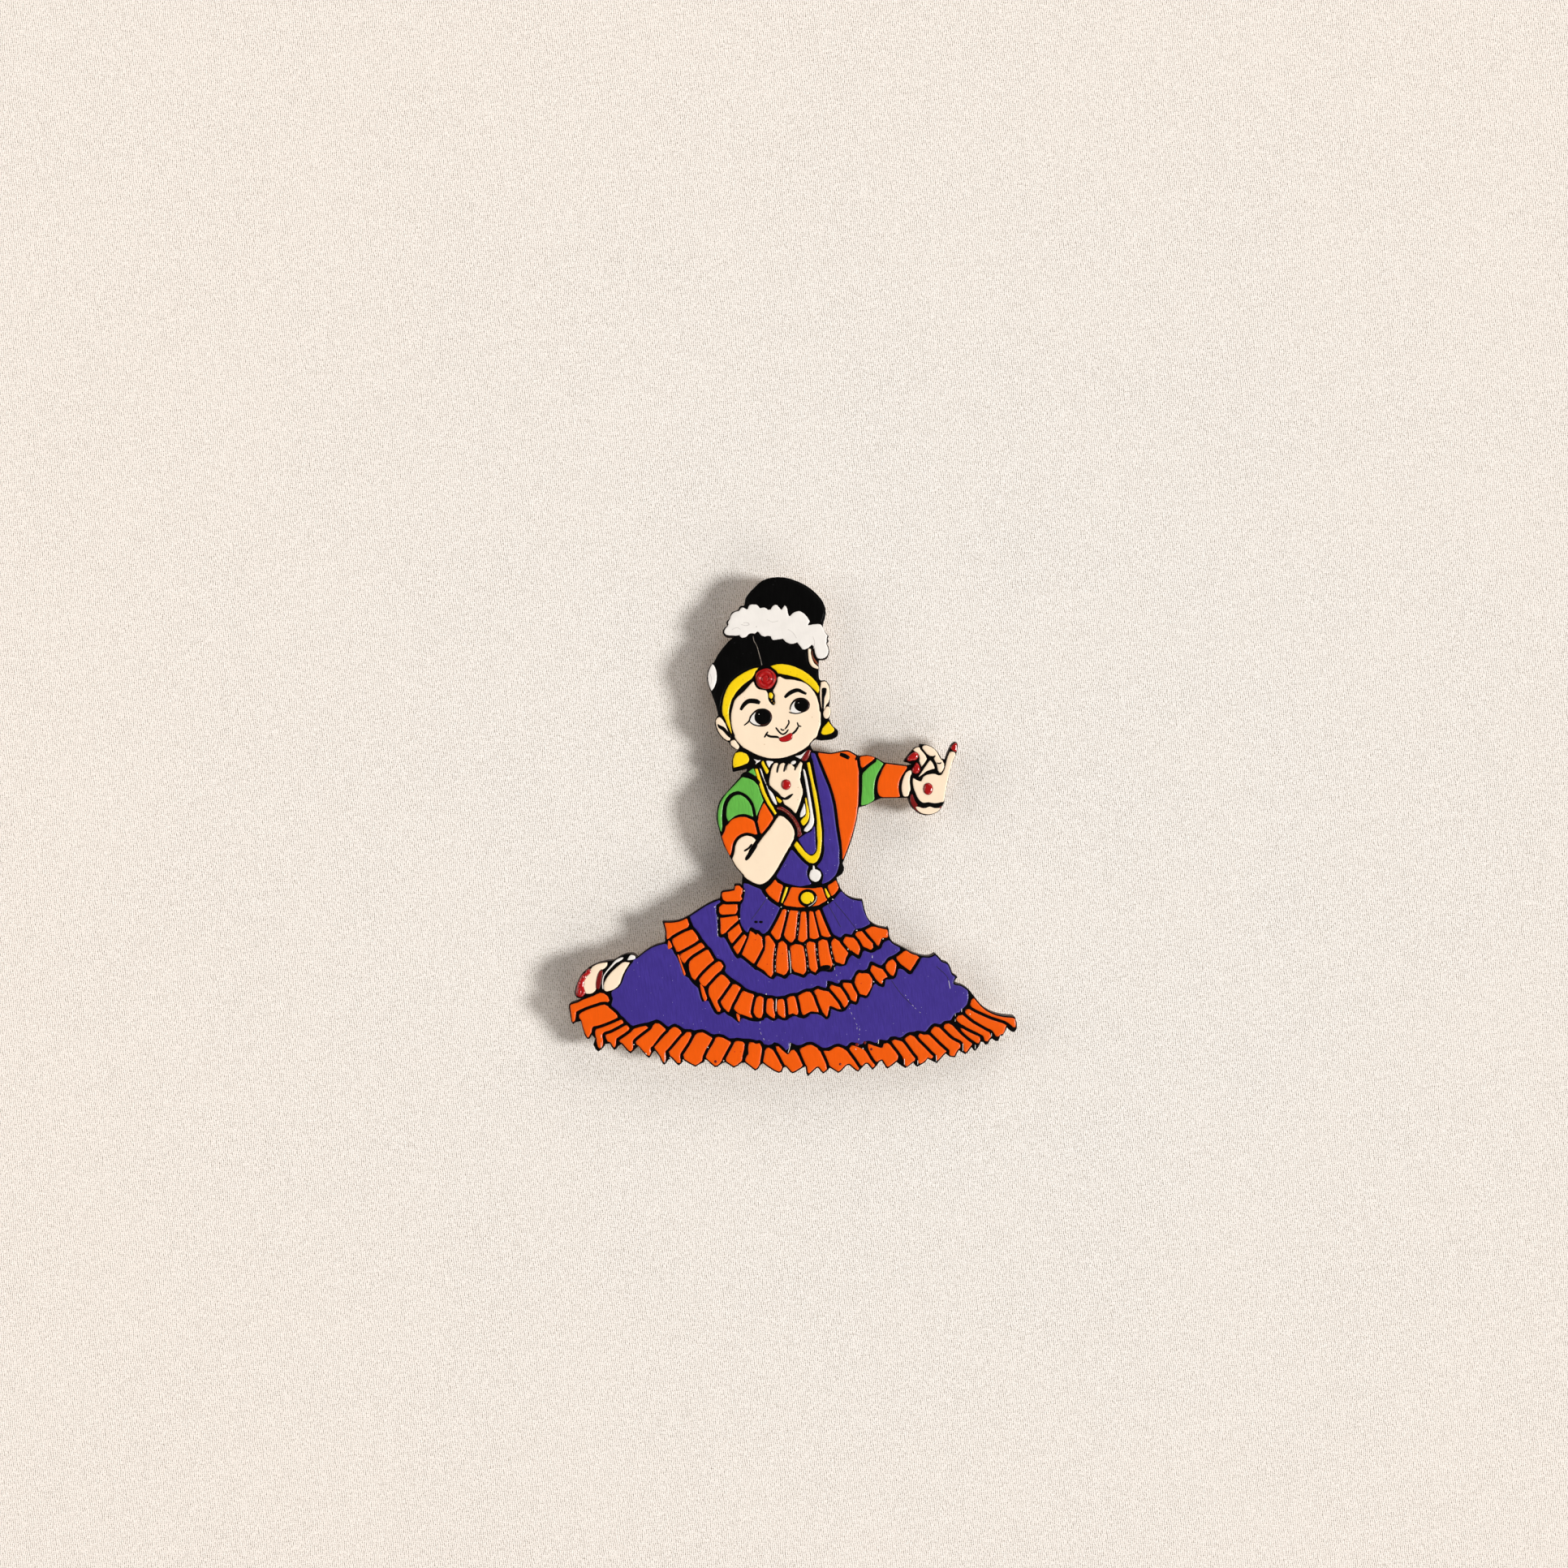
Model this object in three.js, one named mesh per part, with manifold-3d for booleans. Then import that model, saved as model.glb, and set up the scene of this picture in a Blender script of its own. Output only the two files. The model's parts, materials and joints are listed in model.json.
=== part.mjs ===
// Painted dancer wall magnet: a flat figure cut from 3 mm board, painted on its front in
// separate colour films over a black coat, and held off the wall by two disc magnets.
//
// Frame: millimetres, +Z up the figure, +X to the viewer's right, the painted front faces -Y.
// The origin is the centre of the lower magnet's back face, which lies on the wall plane y = 0.

import * as THREE from "three";
import { mergeVertices } from "three/addons/utils/BufferGeometryUtils.js";
import Module from "manifold-3d";

const wasm = await Module();
wasm.setup();

// ---------------------------------------------------------------- driving dimensions
const FIGURE_HEIGHT = 76.95; // top of the hair bun to the lowest point of the hem
const BOARD_THICKNESS = 3;
const MAGNET_DIAMETER = 15;
const MAGNET_THICKNESS = 3;
const GLUE_INSET = 1; // the glue stops this far inside the magnet's edge
const GLUE_THICKNESS = 0.2;
const COAT_THICKNESS = 0.1; // black paint over the whole front
const FILM_THICKNESS = 0.15; // one colour film on the coat
const RIBBON_THICKNESS = 0.05; // paint that joins the pleats of one ruffle
const DROP_THICKNESS = 0.55; // raised drops of red paint: jewel and nails
const DOT_THICKNESS = 0.35; // raised red dots on the palms, laid on the skin film
const RING_SIDES = 48;
const CURVE_STEP = 0.35; // spacing of the samples along a curved outline
const OUTLINE_TOLERANCE = 0.03; // samples closer to a straight line than this are dropped

const DRAWN_HEIGHT = 76.95; // height of the outlines as they are written below
const SCALE = FIGURE_HEIGHT / DRAWN_HEIGHT;
const GLUE_DIAMETER = MAGNET_DIAMETER - 2 * GLUE_INSET;

// Magnet places on the figure: behind the skirt, where the origin is, and behind the chest.
const SKIRT_PLACE = [0, 0];
const CHEST_PLACE = [0, 25];

// Distances from the wall of each layer's front face.
const MAGNET_FRONT = MAGNET_THICKNESS;
const BOARD_BACK = MAGNET_FRONT + GLUE_THICKNESS;
const BOARD_FRONT = BOARD_BACK + BOARD_THICKNESS;
const COAT_FRONT = BOARD_FRONT + COAT_THICKNESS;
const RIBBON_FRONT = COAT_FRONT + RIBBON_THICKNESS;
const FILM_FRONT = COAT_FRONT + FILM_THICKNESS;
const DROP_FRONT = COAT_FRONT + DROP_THICKNESS;
const DOT_FRONT = FILM_FRONT + DOT_THICKNESS;

// ---------------------------------------------------------------- outline helpers
// An outline is a list of [x, z] places on the figure. line() keeps its points as corners,
// curve() runs smoothly through them, and loop() is a closed curve.

const line = (...points) => points;

function sampled(points, closed) {
  const corners = points.map(([x, z]) => new THREE.Vector3(x, z, 0));
  const path = new THREE.CatmullRomCurve3(corners, closed, "centripetal");
  const steps = Math.ceil(path.getLength() / CURVE_STEP);
  const samples = path.getSpacedPoints(steps).map((p) => [p.x, p.y]);
  return closed ? samples.slice(0, -1) : samples;
}

const curve = (...points) => sampled(points, false);
const loop = (...points) => sampled(points, true);

function oval([x, z], radiusX, radiusZ, tilt = 0) {
  const turn = (k) => (2 * Math.PI * k) / (RING_SIDES / 2);
  return Array.from({ length: RING_SIDES / 2 }, (_, k) => {
    const [a, b] = [radiusX * Math.cos(turn(k)), radiusZ * Math.sin(turn(k))];
    return [x + a * Math.cos(tilt) - b * Math.sin(tilt), z + a * Math.sin(tilt) + b * Math.cos(tilt)];
  });
}

// A band follows a smooth centre line through [x, z, width] stations.
function band(...stations) {
  const centre = new THREE.CatmullRomCurve3(
    stations.map(([x, z, width]) => new THREE.Vector3(x, z, width)), false, "centripetal");
  const steps = Math.ceil(centre.getLength() / CURVE_STEP);
  const sides = [[], []];
  for (let k = 0; k <= steps; k += 1) {
    const here = centre.getPointAt(k / steps);
    const along = centre.getTangentAt(k / steps);
    const [nx, nz] = new THREE.Vector2(-along.y, along.x).normalize().toArray();
    const half = here.z / 2;
    sides[0].push([here.x + nx * half, here.y + nz * half]);
    sides[1].unshift([here.x - nx * half, here.y - nz * half]);
  }
  return [...sides[0], ...sides[1]];
}

const distanceToChord = ([px, pz], [ax, az], [bx, bz]) => {
  const length = Math.hypot(bx - ax, bz - az);
  if (length === 0) return Math.hypot(px - ax, pz - az);
  return Math.abs((bx - ax) * (pz - az) - (bz - az) * (px - ax)) / length;
};

// Drops the points that a straight edge can stand for.
function thin(points, tolerance = OUTLINE_TOLERANCE) {
  if (points.length < 3) return points;
  const [first, last] = [points[0], points.at(-1)];
  const distances = points.map((p) => distanceToChord(p, first, last));
  const far = distances.indexOf(Math.max(...distances.slice(1, -1)));
  if (far < 1 || distances[far] < tolerance) return [first, last];
  return [...thin(points.slice(0, far + 1), tolerance), ...thin(points.slice(far), tolerance).slice(1)];
}

function clean(points) {
  const same = (a, b) => Math.hypot(a[0] - b[0], a[1] - b[1]) < 1e-3;
  const distinct = points.filter((p, k) => !same(p, points.at(k - 1)));
  const middle = Math.floor(distinct.length / 2);
  const halves = [distinct.slice(0, middle + 1), [...distinct.slice(middle), distinct[0]]];
  return halves.flatMap((half) => thin(half).slice(0, -1));
}

// ---------------------------------------------------------------- solid helpers
// A plate is an outline with its back and front at given distances from the wall.
function plate(outline, back, front) {
  const shape = new THREE.Shape(clean(outline).map(([x, z]) => new THREE.Vector2(x * SCALE, z * SCALE)));
  const geometry = new THREE.ExtrudeGeometry(shape, { depth: 1, bevelEnabled: false });
  const position = geometry.getAttribute("position");
  for (let k = 0; k < position.count; k += 1) {
    const depth = position.getZ(k);
    position.setXYZ(k, position.getX(k), -(back * (1 - depth) + front * depth), position.getY(k));
  }
  geometry.computeVertexNormals();
  return geometry;
}

function solidOf(geometry) {
  const bare = geometry.clone();
  bare.deleteAttribute("normal");
  bare.deleteAttribute("uv");
  const merged = mergeVertices(bare);
  return new wasm.Manifold(new wasm.Mesh({
    numProp: 3,
    vertProperties: new Float32Array(merged.getAttribute("position").array),
    triVerts: new Uint32Array(merged.getIndex().array),
  }));
}

function geometryOf(solid) {
  const mesh = solid.getMesh();
  const geometry = new THREE.BufferGeometry();
  geometry.setAttribute("position", new THREE.BufferAttribute(mesh.vertProperties, 3));
  geometry.setIndex(new THREE.BufferAttribute(mesh.triVerts, 1));
  geometry.computeVertexNormals();
  return geometry;
}

const film = (outline) => plate(outline, COAT_FRONT, FILM_FRONT);
const drop = (outline) => plate(outline, COAT_FRONT, DROP_FRONT);

// A ruffle is a row of raised pleats, joined by thin ribbons of paint that run under them.
function ruffle(pleats, ribbons) {
  const pads = pleats.map((outline) => solidOf(film(outline)));
  const joins = ribbons.map((ribbon) => solidOf(plate(ribbon, COAT_FRONT, RIBBON_FRONT)));
  return geometryOf([...pads, ...joins].reduce((whole, piece) => whole.add(piece)));
}

function disc([x, z], diameter, back, front) {
  const geometry = new THREE.CylinderGeometry(diameter / 2, diameter / 2, 1, RING_SIDES);
  const position = geometry.getAttribute("position");
  for (let k = 0; k < position.count; k += 1) {
    const depth = 0.5 - position.getY(k);
    position.setY(k, -(back * (1 - depth) + front * depth));
    position.setX(k, position.getX(k) + x * SCALE);
    position.setZ(k, position.getZ(k) + z * SCALE);
  }
  return geometry;
}

// ---------------------------------------------------------------- silhouette
// The cut edge of the board, clockwise from the left of the hair bun.

const BUN_EDGE = curve([-6.36, 57.9], [-6.17, 58.9], [-5.0, 60.4], [-3.3, 61.75], [-0.7, 62.15],
  [1.6, 61.6], [3.9, 60.35], [5.75, 58.35], [6.2, 56.6], [5.8, 54.9]);

const RIGHT_HEAD_EDGE = [
  ...curve([5.76, 54.5], [5.9, 54.0], [6.65, 53.0]),
  ...line([6.46, 52.7], [6.65, 52.3], [6.35, 51.9]),
  ...curve([6.35, 51.9], [6.72, 51.05], [6.65, 50.15], [6.2, 49.55], [5.18, 49.45]),
  ...line([5.1, 48.6], [5.1, 47.1]),
  ...curve([5.18, 46.45], [5.44, 46.2], [6.1, 46.25], [6.8, 45.3], [6.9, 43.6], [6.72, 42.3]),
  ...curve([6.72, 42.3], [7.04, 41.3], [6.7, 40.3]),
  ...curve([6.7, 40.3], [7.2, 39.3], [8.1, 38.4], [8.0, 37.65], [7.3, 37.2], [5.5, 37.0]),
  ...curve([4.65, 37.15], [4.1, 36.75], [3.83, 36.2], [4.3, 35.4]),
];

const RIGHT_ARM_EDGE = [
  ...curve([5.6, 35.25], [7.0, 35.05], [8.8, 35.45], [9.7, 35.45], [10.95, 34.75]),
  ...curve([11.2, 34.6], [12.6, 34.75], [13.9, 34.35], [15.2, 33.6]),
  ...curve([15.2, 33.6], [17.0, 33.4], [18.9, 33.15], [19.5, 33.35]),
  ...line([18.95, 33.55], [18.35, 33.7]),
  ...curve([18.3, 33.95], [19.15, 35.05], [20.05, 36.0], [20.7, 36.15]),
  ...curve([20.7, 36.45], [21.3, 36.4], [22.5, 36.05], [23.4, 35.25], [24.0, 34.2]),
  ...curve([24.67, 34.05], [25.05, 35.25], [25.7, 36.5], [26.2, 36.8], [26.5, 36.4], [26.4, 35.2],
    [25.6, 33.2], [25.0, 30.6], [24.6, 28.3], [24.4, 27.3]),
  ...curve([24.4, 27.3], [23.65, 26.1], [22.75, 25.6], [21.85, 25.4], [20.8, 25.6], [19.4, 26.8],
    [18.9, 28.15]),
  ...line([18.3, 28.1], [14.7, 28.05]),
  ...curve([14.7, 28.05], [13.65, 27.6], [12.4, 26.95], [11.3, 26.65]),
];

const RIGHT_WAIST_EDGE = [
  ...curve([11.25, 26.5], [11.1, 25.3], [10.3, 22.0], [9.05, 18.6], [8.8, 18.0]),
  ...curve([8.8, 18.0], [9.05, 17.3], [8.7, 16.4], [7.9, 15.85]),
  ...curve([7.97, 15.35], [8.5, 14.1], [9.5, 13.05], [10.8, 12.55], [11.85, 12.45]),
  ...curve([11.85, 12.45], [12.15, 11.0], [12.85, 9.3], [14.0, 8.45], [15.6, 8.05]),
];

const RIGHT_SKIRT_EDGE = [
  ...line([15.77, 8.25], [15.92, 7.8]),
  ...curve([15.92, 7.8], [16.02, 6.8], [16.5, 5.9], [18.0, 5.1], [19.65, 4.2], [21.2, 3.75], [22.3, 3.75],
    [23.05, 4.15]),
  ...curve([23.05, 4.15], [23.6, 3.65], [24.2, 2.95]),
  ...curve([24.2, 2.95], [25.0, 2.7], [25.5, 1.8], [25.7, 1.1], [26.4, 0.65]),
  ...line([26.5, 0.45], [26.1, 0.0], [26.05, -0.45]),
  ...curve([26.05, -0.45], [27.2, -0.75], [28.2, -1.4], [29.3, -2.8], [30.5, -4.15], [31.7, -4.9],
    [33.3, -5.4], [35.3, -5.6]),
  ...curve([35.3, -5.6], [35.65, -6.6], [35.6, -7.5], [35.2, -8.0], [34.5, -7.7], [34.1, -7.3]),
];

// The cut hem: a point below each pleat and a notch between two pleats, from right to left.
const HEM_EDGE = line(
  [33.85, -7.9], [33.4, -8.6], [33.1, -8.5], [32.8, -9.35], [32.4, -9.4], [31.8, -9.0], [31.5, -9.2],
  [31.2, -9.85], [30.8, -9.95], [30.4, -9.5], [30.1, -9.5], [29.7, -10.35], [29.2, -10.9], [28.9, -10.7],
  [28.65, -10.3], [28.1, -11.1], [27.7, -11.4], [27.3, -11.2], [26.7, -10.8], [26.4, -11.3],
  [26.15, -11.9], [25.3, -11.8], [24.65, -11.3], [24.0, -12.0], [23.3, -12.8], [22.7, -12.5],
  [21.9, -12.1], [21.5, -12.65], [20.3, -13.35], [19.9, -13.1], [19.7, -12.7], [18.9, -13.3],
  [18.45, -13.55], [17.8, -13.15], [17.1, -12.6], [16.5, -13.1], [15.7, -13.65], [15.4, -13.4],
  [14.8, -12.4], [14.4, -12.6], [14.1, -13.1], [13.4, -13.85], [12.95, -13.35], [12.6, -12.9],
  [12.35, -12.9], [11.7, -13.6], [11.2, -14.1], [10.8, -13.95], [9.75, -13.05], [9.4, -13.15],
  [8.5, -14.1], [8.1, -14.3], [7.5, -13.95], [6.85, -13.5], [6.3, -14.05], [5.8, -14.4], [5.4, -14.05],
  [5.0, -13.5], [4.8, -13.55], [3.9, -14.4], [3.45, -14.8], [3.2, -14.4], [3.05, -13.3], [2.7, -13.45],
  [1.5, -14.2], [1.05, -14.35], [0.7, -14.15], [0.05, -13.35], [-0.3, -13.45], [-0.6, -14.15],
  [-1.1, -14.3], [-1.8, -14.0], [-3.0, -13.2], [-3.5, -12.8], [-3.9, -13.1], [-4.2, -13.65],
  [-4.7, -13.95], [-5.3, -13.45], [-6.3, -12.7], [-6.9, -12.8], [-7.4, -13.2], [-8.0, -13.5],
  [-8.7, -13.05], [-9.3, -12.65], [-9.8, -12.8], [-10.5, -13.35], [-10.9, -13.4], [-11.5, -12.95],
  [-12.2, -12.25], [-12.7, -12.7], [-13.2, -12.9], [-13.9, -13.35], [-14.7, -12.95], [-15.7, -12.35],
  [-16.1, -12.85], [-16.5, -13.15], [-16.9, -12.8], [-17.6, -12.0], [-18.1, -12.3], [-18.4, -12.8],
  [-18.75, -13.05], [-19.05, -12.7], [-19.5, -11.7], [-20.15, -10.85], [-20.5, -11.2], [-20.9, -11.9],
  [-21.2, -11.95], [-21.8, -11.3], [-22.7, -10.2], [-23.2, -10.65], [-23.9, -11.3], [-24.5, -10.8],
  [-25.3, -9.85], [-25.7, -10.1], [-26.1, -10.6], [-26.45, -10.75], [-26.8, -10.3], [-27.1, -9.75],
  [-27.8, -9.85], [-28.1, -10.4], [-28.5, -10.75], [-28.9, -11.0], [-29.3, -10.6], [-29.65, -9.9],
  [-29.35, -9.0], [-29.9, -8.4], [-30.25, -9.05], [-30.6, -9.05], [-31.0, -8.4], [-31.6, -6.3],
  [-32.4, -6.5], [-32.75, -6.8], [-33.05, -6.4],
);

const FOOT_EDGE = [
  ...curve([-33.05, -6.4], [-33.3, -5.0], [-33.4, -3.7], [-33.1, -3.5]),
  ...curve([-33.1, -3.5], [-32.2, -3.25], [-31.2, -2.7]),
  ...curve([-31.2, -2.7], [-31.7, -2.8], [-32.3, -2.55], [-32.55, -1.9], [-32.3, -0.9], [-32.0, 0.0],
    [-31.6, 0.75], [-31.1, 1.35], [-30.4, 1.95], [-29.2, 2.55], [-28.0, 2.9], [-26.6, 3.05]),
  ...curve([-26.6, 3.05], [-25.6, 3.65], [-24.6, 4.05], [-23.5, 4.05], [-22.85, 3.5]),
];

const LEFT_SKIRT_EDGE = [
  ...curve([-22.85, 3.6], [-21.9, 4.35], [-21.0, 5.0], [-20.0, 5.45], [-18.7, 5.8]),
  ...curve([-18.6, 6.0], [-18.6, 7.5], [-19.0, 9.1]),
  ...curve([-19.0, 9.1], [-17.4, 9.1], [-16.2, 9.35], [-14.9, 10.0], [-13.0, 11.25], [-11.5, 12.1],
    [-10.15, 12.6]),
  ...line([-10.0, 13.6], [-9.7, 13.8], [-8.0, 14.0], [-7.95, 14.8]),
  ...line([-7.2, 14.85], [-6.75, 14.6], [-6.76, 15.4], [-6.65, 16.15]),
];

const LEFT_ARM_EDGE = [
  ...curve([-6.7, 16.25], [-7.85, 17.6], [-8.5, 18.9], [-9.5, 20.7], [-10.15, 22.7], [-10.64, 24.8],
    [-10.6, 26.05], [-10.35, 27.2], [-9.9, 28.1], [-8.9, 29.25], [-7.85, 30.4], [-6.95, 31.4], [-6.1, 32.2]),
];

const LEFT_HEAD_EDGE = [
  ...line([-5.95, 32.6], [-7.1, 32.35], [-8.15, 32.1], [-8.28, 32.75]),
  ...curve([-8.28, 32.75], [-8.25, 34.0], [-7.95, 34.9], [-7.4, 35.45]),
  ...curve([-7.4, 35.45], [-8.0, 35.7], [-8.54, 36.2], [-8.73, 36.65]),
  ...curve([-8.9, 36.75], [-9.6, 37.15], [-10.5, 38.25], [-10.94, 39.7], [-10.6, 40.65]),
  ...curve([-10.4, 40.8], [-10.65, 42.0], [-11.05, 43.1], [-11.5, 44.4]),
  ...curve([-11.5, 44.4], [-12.0, 45.6], [-12.15, 46.8], [-11.9, 48.0], [-11.25, 48.95]),
  ...curve([-11.1, 48.95], [-10.5, 50.1], [-9.6, 51.35], [-8.55, 52.5], [-8.03, 52.9]),
  ...curve([-8.03, 52.95], [-9.2, 53.0], [-9.72, 53.6], [-9.37, 54.4], [-8.92, 54.65]),
  ...curve([-9.1, 54.85], [-9.15, 55.2], [-8.7, 55.75], [-8.3, 56.7], [-7.3, 57.1]),
  ...curve([-7.25, 57.2], [-7.05, 57.65], [-6.45, 57.75]),
];

const SILHOUETTE = [
  ...BUN_EDGE, ...RIGHT_HEAD_EDGE, ...RIGHT_ARM_EDGE, ...RIGHT_WAIST_EDGE, ...RIGHT_SKIRT_EDGE,
  ...HEM_EDGE, ...FOOT_EDGE, ...LEFT_SKIRT_EDGE, ...LEFT_ARM_EDGE, ...LEFT_HEAD_EDGE,
];

// ---------------------------------------------------------------- head
// The bun and the cap are the black hair, above and below the white garland.

const HAIR_BUN = [
  ...curve([-5.9, 58.1], [-5.6, 59.2], [-4.4, 60.6], [-2.9, 61.6], [-0.7, 61.95], [1.5, 61.4],
    [3.75, 60.2], [5.5, 58.3], [5.95, 56.7], [5.6, 55.2]),
  ...curve([5.4, 55.05], [4.6, 55.05], [3.95, 55.35], [3.4, 56.1], [2.7, 56.8], [2.0, 57.1], [1.2, 56.9],
    [0.75, 56.6]),
  ...line([0.6, 56.7], [0.25, 57.8], [-0.1, 58.05], [-0.5, 57.9], [-0.75, 57.6]),
  ...curve([-0.75, 57.6], [-1.2, 57.95], [-1.7, 58.05], [-2.3, 57.75], [-2.7, 57.4]),
  ...curve([-2.9, 57.5], [-3.3, 57.75], [-3.9, 57.7], [-4.3, 58.1], [-5.3, 58.15], [-5.9, 57.85]),
];

const HAIR_CAP = [
  ...curve([-8.0, 52.85], [-9.1, 51.6], [-10.2, 50.1], [-10.95, 48.7]),
  ...curve([-10.6, 48.0], [-10.4, 47.0], [-10.45, 46.0], [-10.75, 45.0], [-11.15, 44.1]),
  ...curve([-11.15, 44.0], [-10.8, 43.0], [-10.4, 41.9], [-10.15, 41.0]),
  ...curve([-10.0, 41.0], [-10.0, 42.6], [-9.6, 44.2], [-8.9, 45.5], [-7.8, 46.75], [-6.3, 47.75],
    [-4.3, 48.45]),
  ...curve([-4.2, 48.5], [-3.1, 48.75], [-2.2, 48.75], [-0.5, 48.9], [1.2, 48.6], [3.0, 47.7],
    [4.4, 46.6], [4.95, 45.95]),
  ...line([5.0, 46.5], [4.95, 47.75]),
  ...curve([4.5, 47.85], [3.75, 48.35], [3.35, 49.3], [3.25, 50.4], [3.2, 50.8]),
  ...curve([2.8, 50.8], [2.2, 51.1], [1.8, 51.75], [1.2, 51.7], [0.6, 51.7], [-0.1, 52.0], [-0.6, 52.4],
    [-1.3, 52.4], [-2.2, 52.3], [-2.6, 52.95], [-3.4, 52.8], [-4.0, 53.0], [-4.4, 53.45], [-4.8, 53.15],
    [-5.6, 53.15], [-6.3, 52.65], [-6.9, 52.65], [-7.3, 53.0]),
];

const FLOWER_GARLAND = [
  ...curve([-8.6, 55.75], [-8.4, 56.3], [-7.9, 56.75], [-7.2, 56.95]),
  ...curve([-7.0, 57.1], [-6.75, 57.45], [-6.3, 57.3], [-6.0, 57.1]),
  ...curve([-5.8, 57.25], [-5.6, 57.75], [-5.0, 57.9], [-4.4, 57.8], [-4.1, 57.4]),
  ...curve([-4.0, 57.3], [-3.6, 57.35], [-3.2, 57.4], [-2.75, 57.05]),
  ...curve([-2.3, 57.1], [-2.0, 57.6], [-1.5, 57.85], [-1.0, 57.45], [-0.65, 57.0]),
  ...curve([-0.5, 57.2], [-0.15, 57.75], [0.15, 57.4], [0.35, 56.4], [0.54, 55.95]),
  ...curve([0.6, 56.0], [1.2, 56.6], [2.1, 56.85], [2.8, 56.5], [3.4, 55.8], [3.7, 55.3]),
  ...curve([3.3, 54.65], [4.5, 54.83], [5.3, 54.83], [5.7, 54.5], [6.0, 53.8], [6.46, 53.1]),
  ...curve([6.3, 52.5], [6.3, 51.8], [6.6, 51.05], [6.5, 50.2], [6.0, 49.65], [5.0, 49.6], [4.6, 50.3],
    [4.4, 51.3], [4.05, 51.75]),
  ...curve([4.0, 51.75], [3.4, 51.2], [2.7, 51.0], [2.2, 51.55], [1.8, 52.1]),
  ...curve([1.75, 52.1], [1.2, 51.9], [0.6, 51.9], [0.0, 52.2], [-0.4, 52.65]),
  ...curve([-0.6, 52.65], [-1.3, 52.55], [-2.06, 52.5], [-2.3, 53.05], [-2.9, 53.1]),
  ...curve([-3.2, 53.0], [-3.8, 53.2], [-4.3, 53.8], [-4.82, 53.4]),
  ...curve([-5.1, 53.5], [-5.6, 53.45], [-6.2, 52.9], [-6.87, 52.85], [-7.1, 53.25]),
  ...curve([-7.4, 53.15], [-8.2, 53.1], [-9.1, 53.2], [-9.5, 53.7], [-9.2, 54.35], [-8.85, 54.7],
    [-8.9, 55.2]),
];

const TEMPLE_FLOWER = [
  ...curve([-11.3, 48.8], [-10.85, 48.1], [-10.65, 47.1], [-10.72, 46.05], [-11.04, 45.15], [-11.45, 44.55]),
  ...curve([-11.45, 44.55], [-11.85, 45.5], [-12.02, 46.7], [-11.8, 47.9], [-11.3, 48.8]),
];

const HEADBAND_LEFT = [
  ...curve([-4.2, 48.15], [-5.0, 48.0], [-6.87, 47.1], [-8.54, 45.7], [-9.44, 43.8], [-9.76, 41.7],
    [-9.63, 40.8]),
  ...curve([-9.5, 40.6], [-9.0, 39.3], [-8.6, 38.5], [-8.35, 37.9]),
  ...curve([-8.25, 38.0], [-8.47, 39.15], [-8.73, 40.8], [-8.64, 42.0], [-8.0, 43.9], [-6.6, 45.55],
    [-5.3, 46.5], [-4.9, 47.05]),
  ...line([-4.7, 47.6]),
];

const HEADBAND_RIGHT = [
  ...curve([-2.3, 48.4], [-0.97, 48.7], [1.08, 48.4], [3.26, 47.3], [4.6, 46.05], [5.15, 45.3]),
  ...line([5.2, 44.7], [5.0, 44.2]),
  ...curve([4.54, 44.65], [3.5, 45.6], [2.1, 46.5], [0.4, 47.05], [-1.15, 47.3]),
  ...line([-1.45, 47.75]),
];

const JEWEL_PLACE = [-3.06, 46.47];
const JEWEL_RADIUS = 1.65;

const FACE = [
  ...line([-4.9, 45.55]),
  ...curve([-4.7, 45.15], [-4.2, 44.75], [-3.0, 44.5], [-2.85, 44.1], [-2.8, 43.3], [-2.4, 42.6],
    [-1.9, 42.25], [-1.5, 42.6], [-1.6, 43.3], [-1.55, 43.9], [-1.8, 44.4]),
  ...curve([-1.8, 44.7], [-1.35, 45.5], [-1.15, 46.2], [-1.15, 46.75]),
  ...curve([-0.85, 46.8], [-0.5, 46.45], [0.2, 46.25], [1.6, 46.25], [3.1, 45.75], [4.3, 44.6],
    [5.1, 42.7], [5.28, 40.55], [5.12, 38.6], [4.28, 37.1], [2.74, 35.75], [0.3, 34.6], [-2.0, 34.3],
    [-4.05, 34.75], [-6.36, 35.9]),
  ...curve([-6.5, 36.0], [-7.58, 37.2], [-8.3, 39.0], [-8.42, 41.0], [-7.9, 43.1]),
  ...curve([-7.8, 43.2], [-6.4, 44.35], [-5.5, 45.35], [-5.0, 45.95]),
];

const EAR_LEFT = [
  ...curve([-10.59, 40.4], [-10.08, 40.45], [-9.5, 39.9], [-9.0, 38.8], [-8.6, 37.4], [-8.8, 36.9],
    [-9.4, 37.15], [-10.3, 38.2], [-10.75, 39.3], [-10.8, 40.0]),
];

const EAR_RIGHT = [
  ...curve([5.44, 45.95], [6.08, 46.1], [6.65, 45.4], [6.85, 44.15], [6.7, 43.1], [6.15, 42.55]),
  ...curve([5.85, 41.75], [5.6, 41.8], [5.4, 42.5], [5.25, 43.7], [5.25, 44.7]),
];

const EARRING_LEFT = [
  ...curve([-7.7, 35.05], [-6.87, 35.15], [-6.0, 34.8], [-5.65, 34.0], [-5.9, 33.5]),
  ...curve([-6.0, 33.45], [-7.0, 33.05], [-8.03, 32.8]),
  ...curve([-8.15, 33.2], [-8.12, 34.1], [-7.8, 34.95]),
];

const EARRING_RIGHT = curve([6.6, 39.85], [7.2, 39.15], [7.5, 38.65], [7.1, 38.15], [5.95, 37.87],
  [5.45, 38.1], [5.7, 38.8]);

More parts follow.
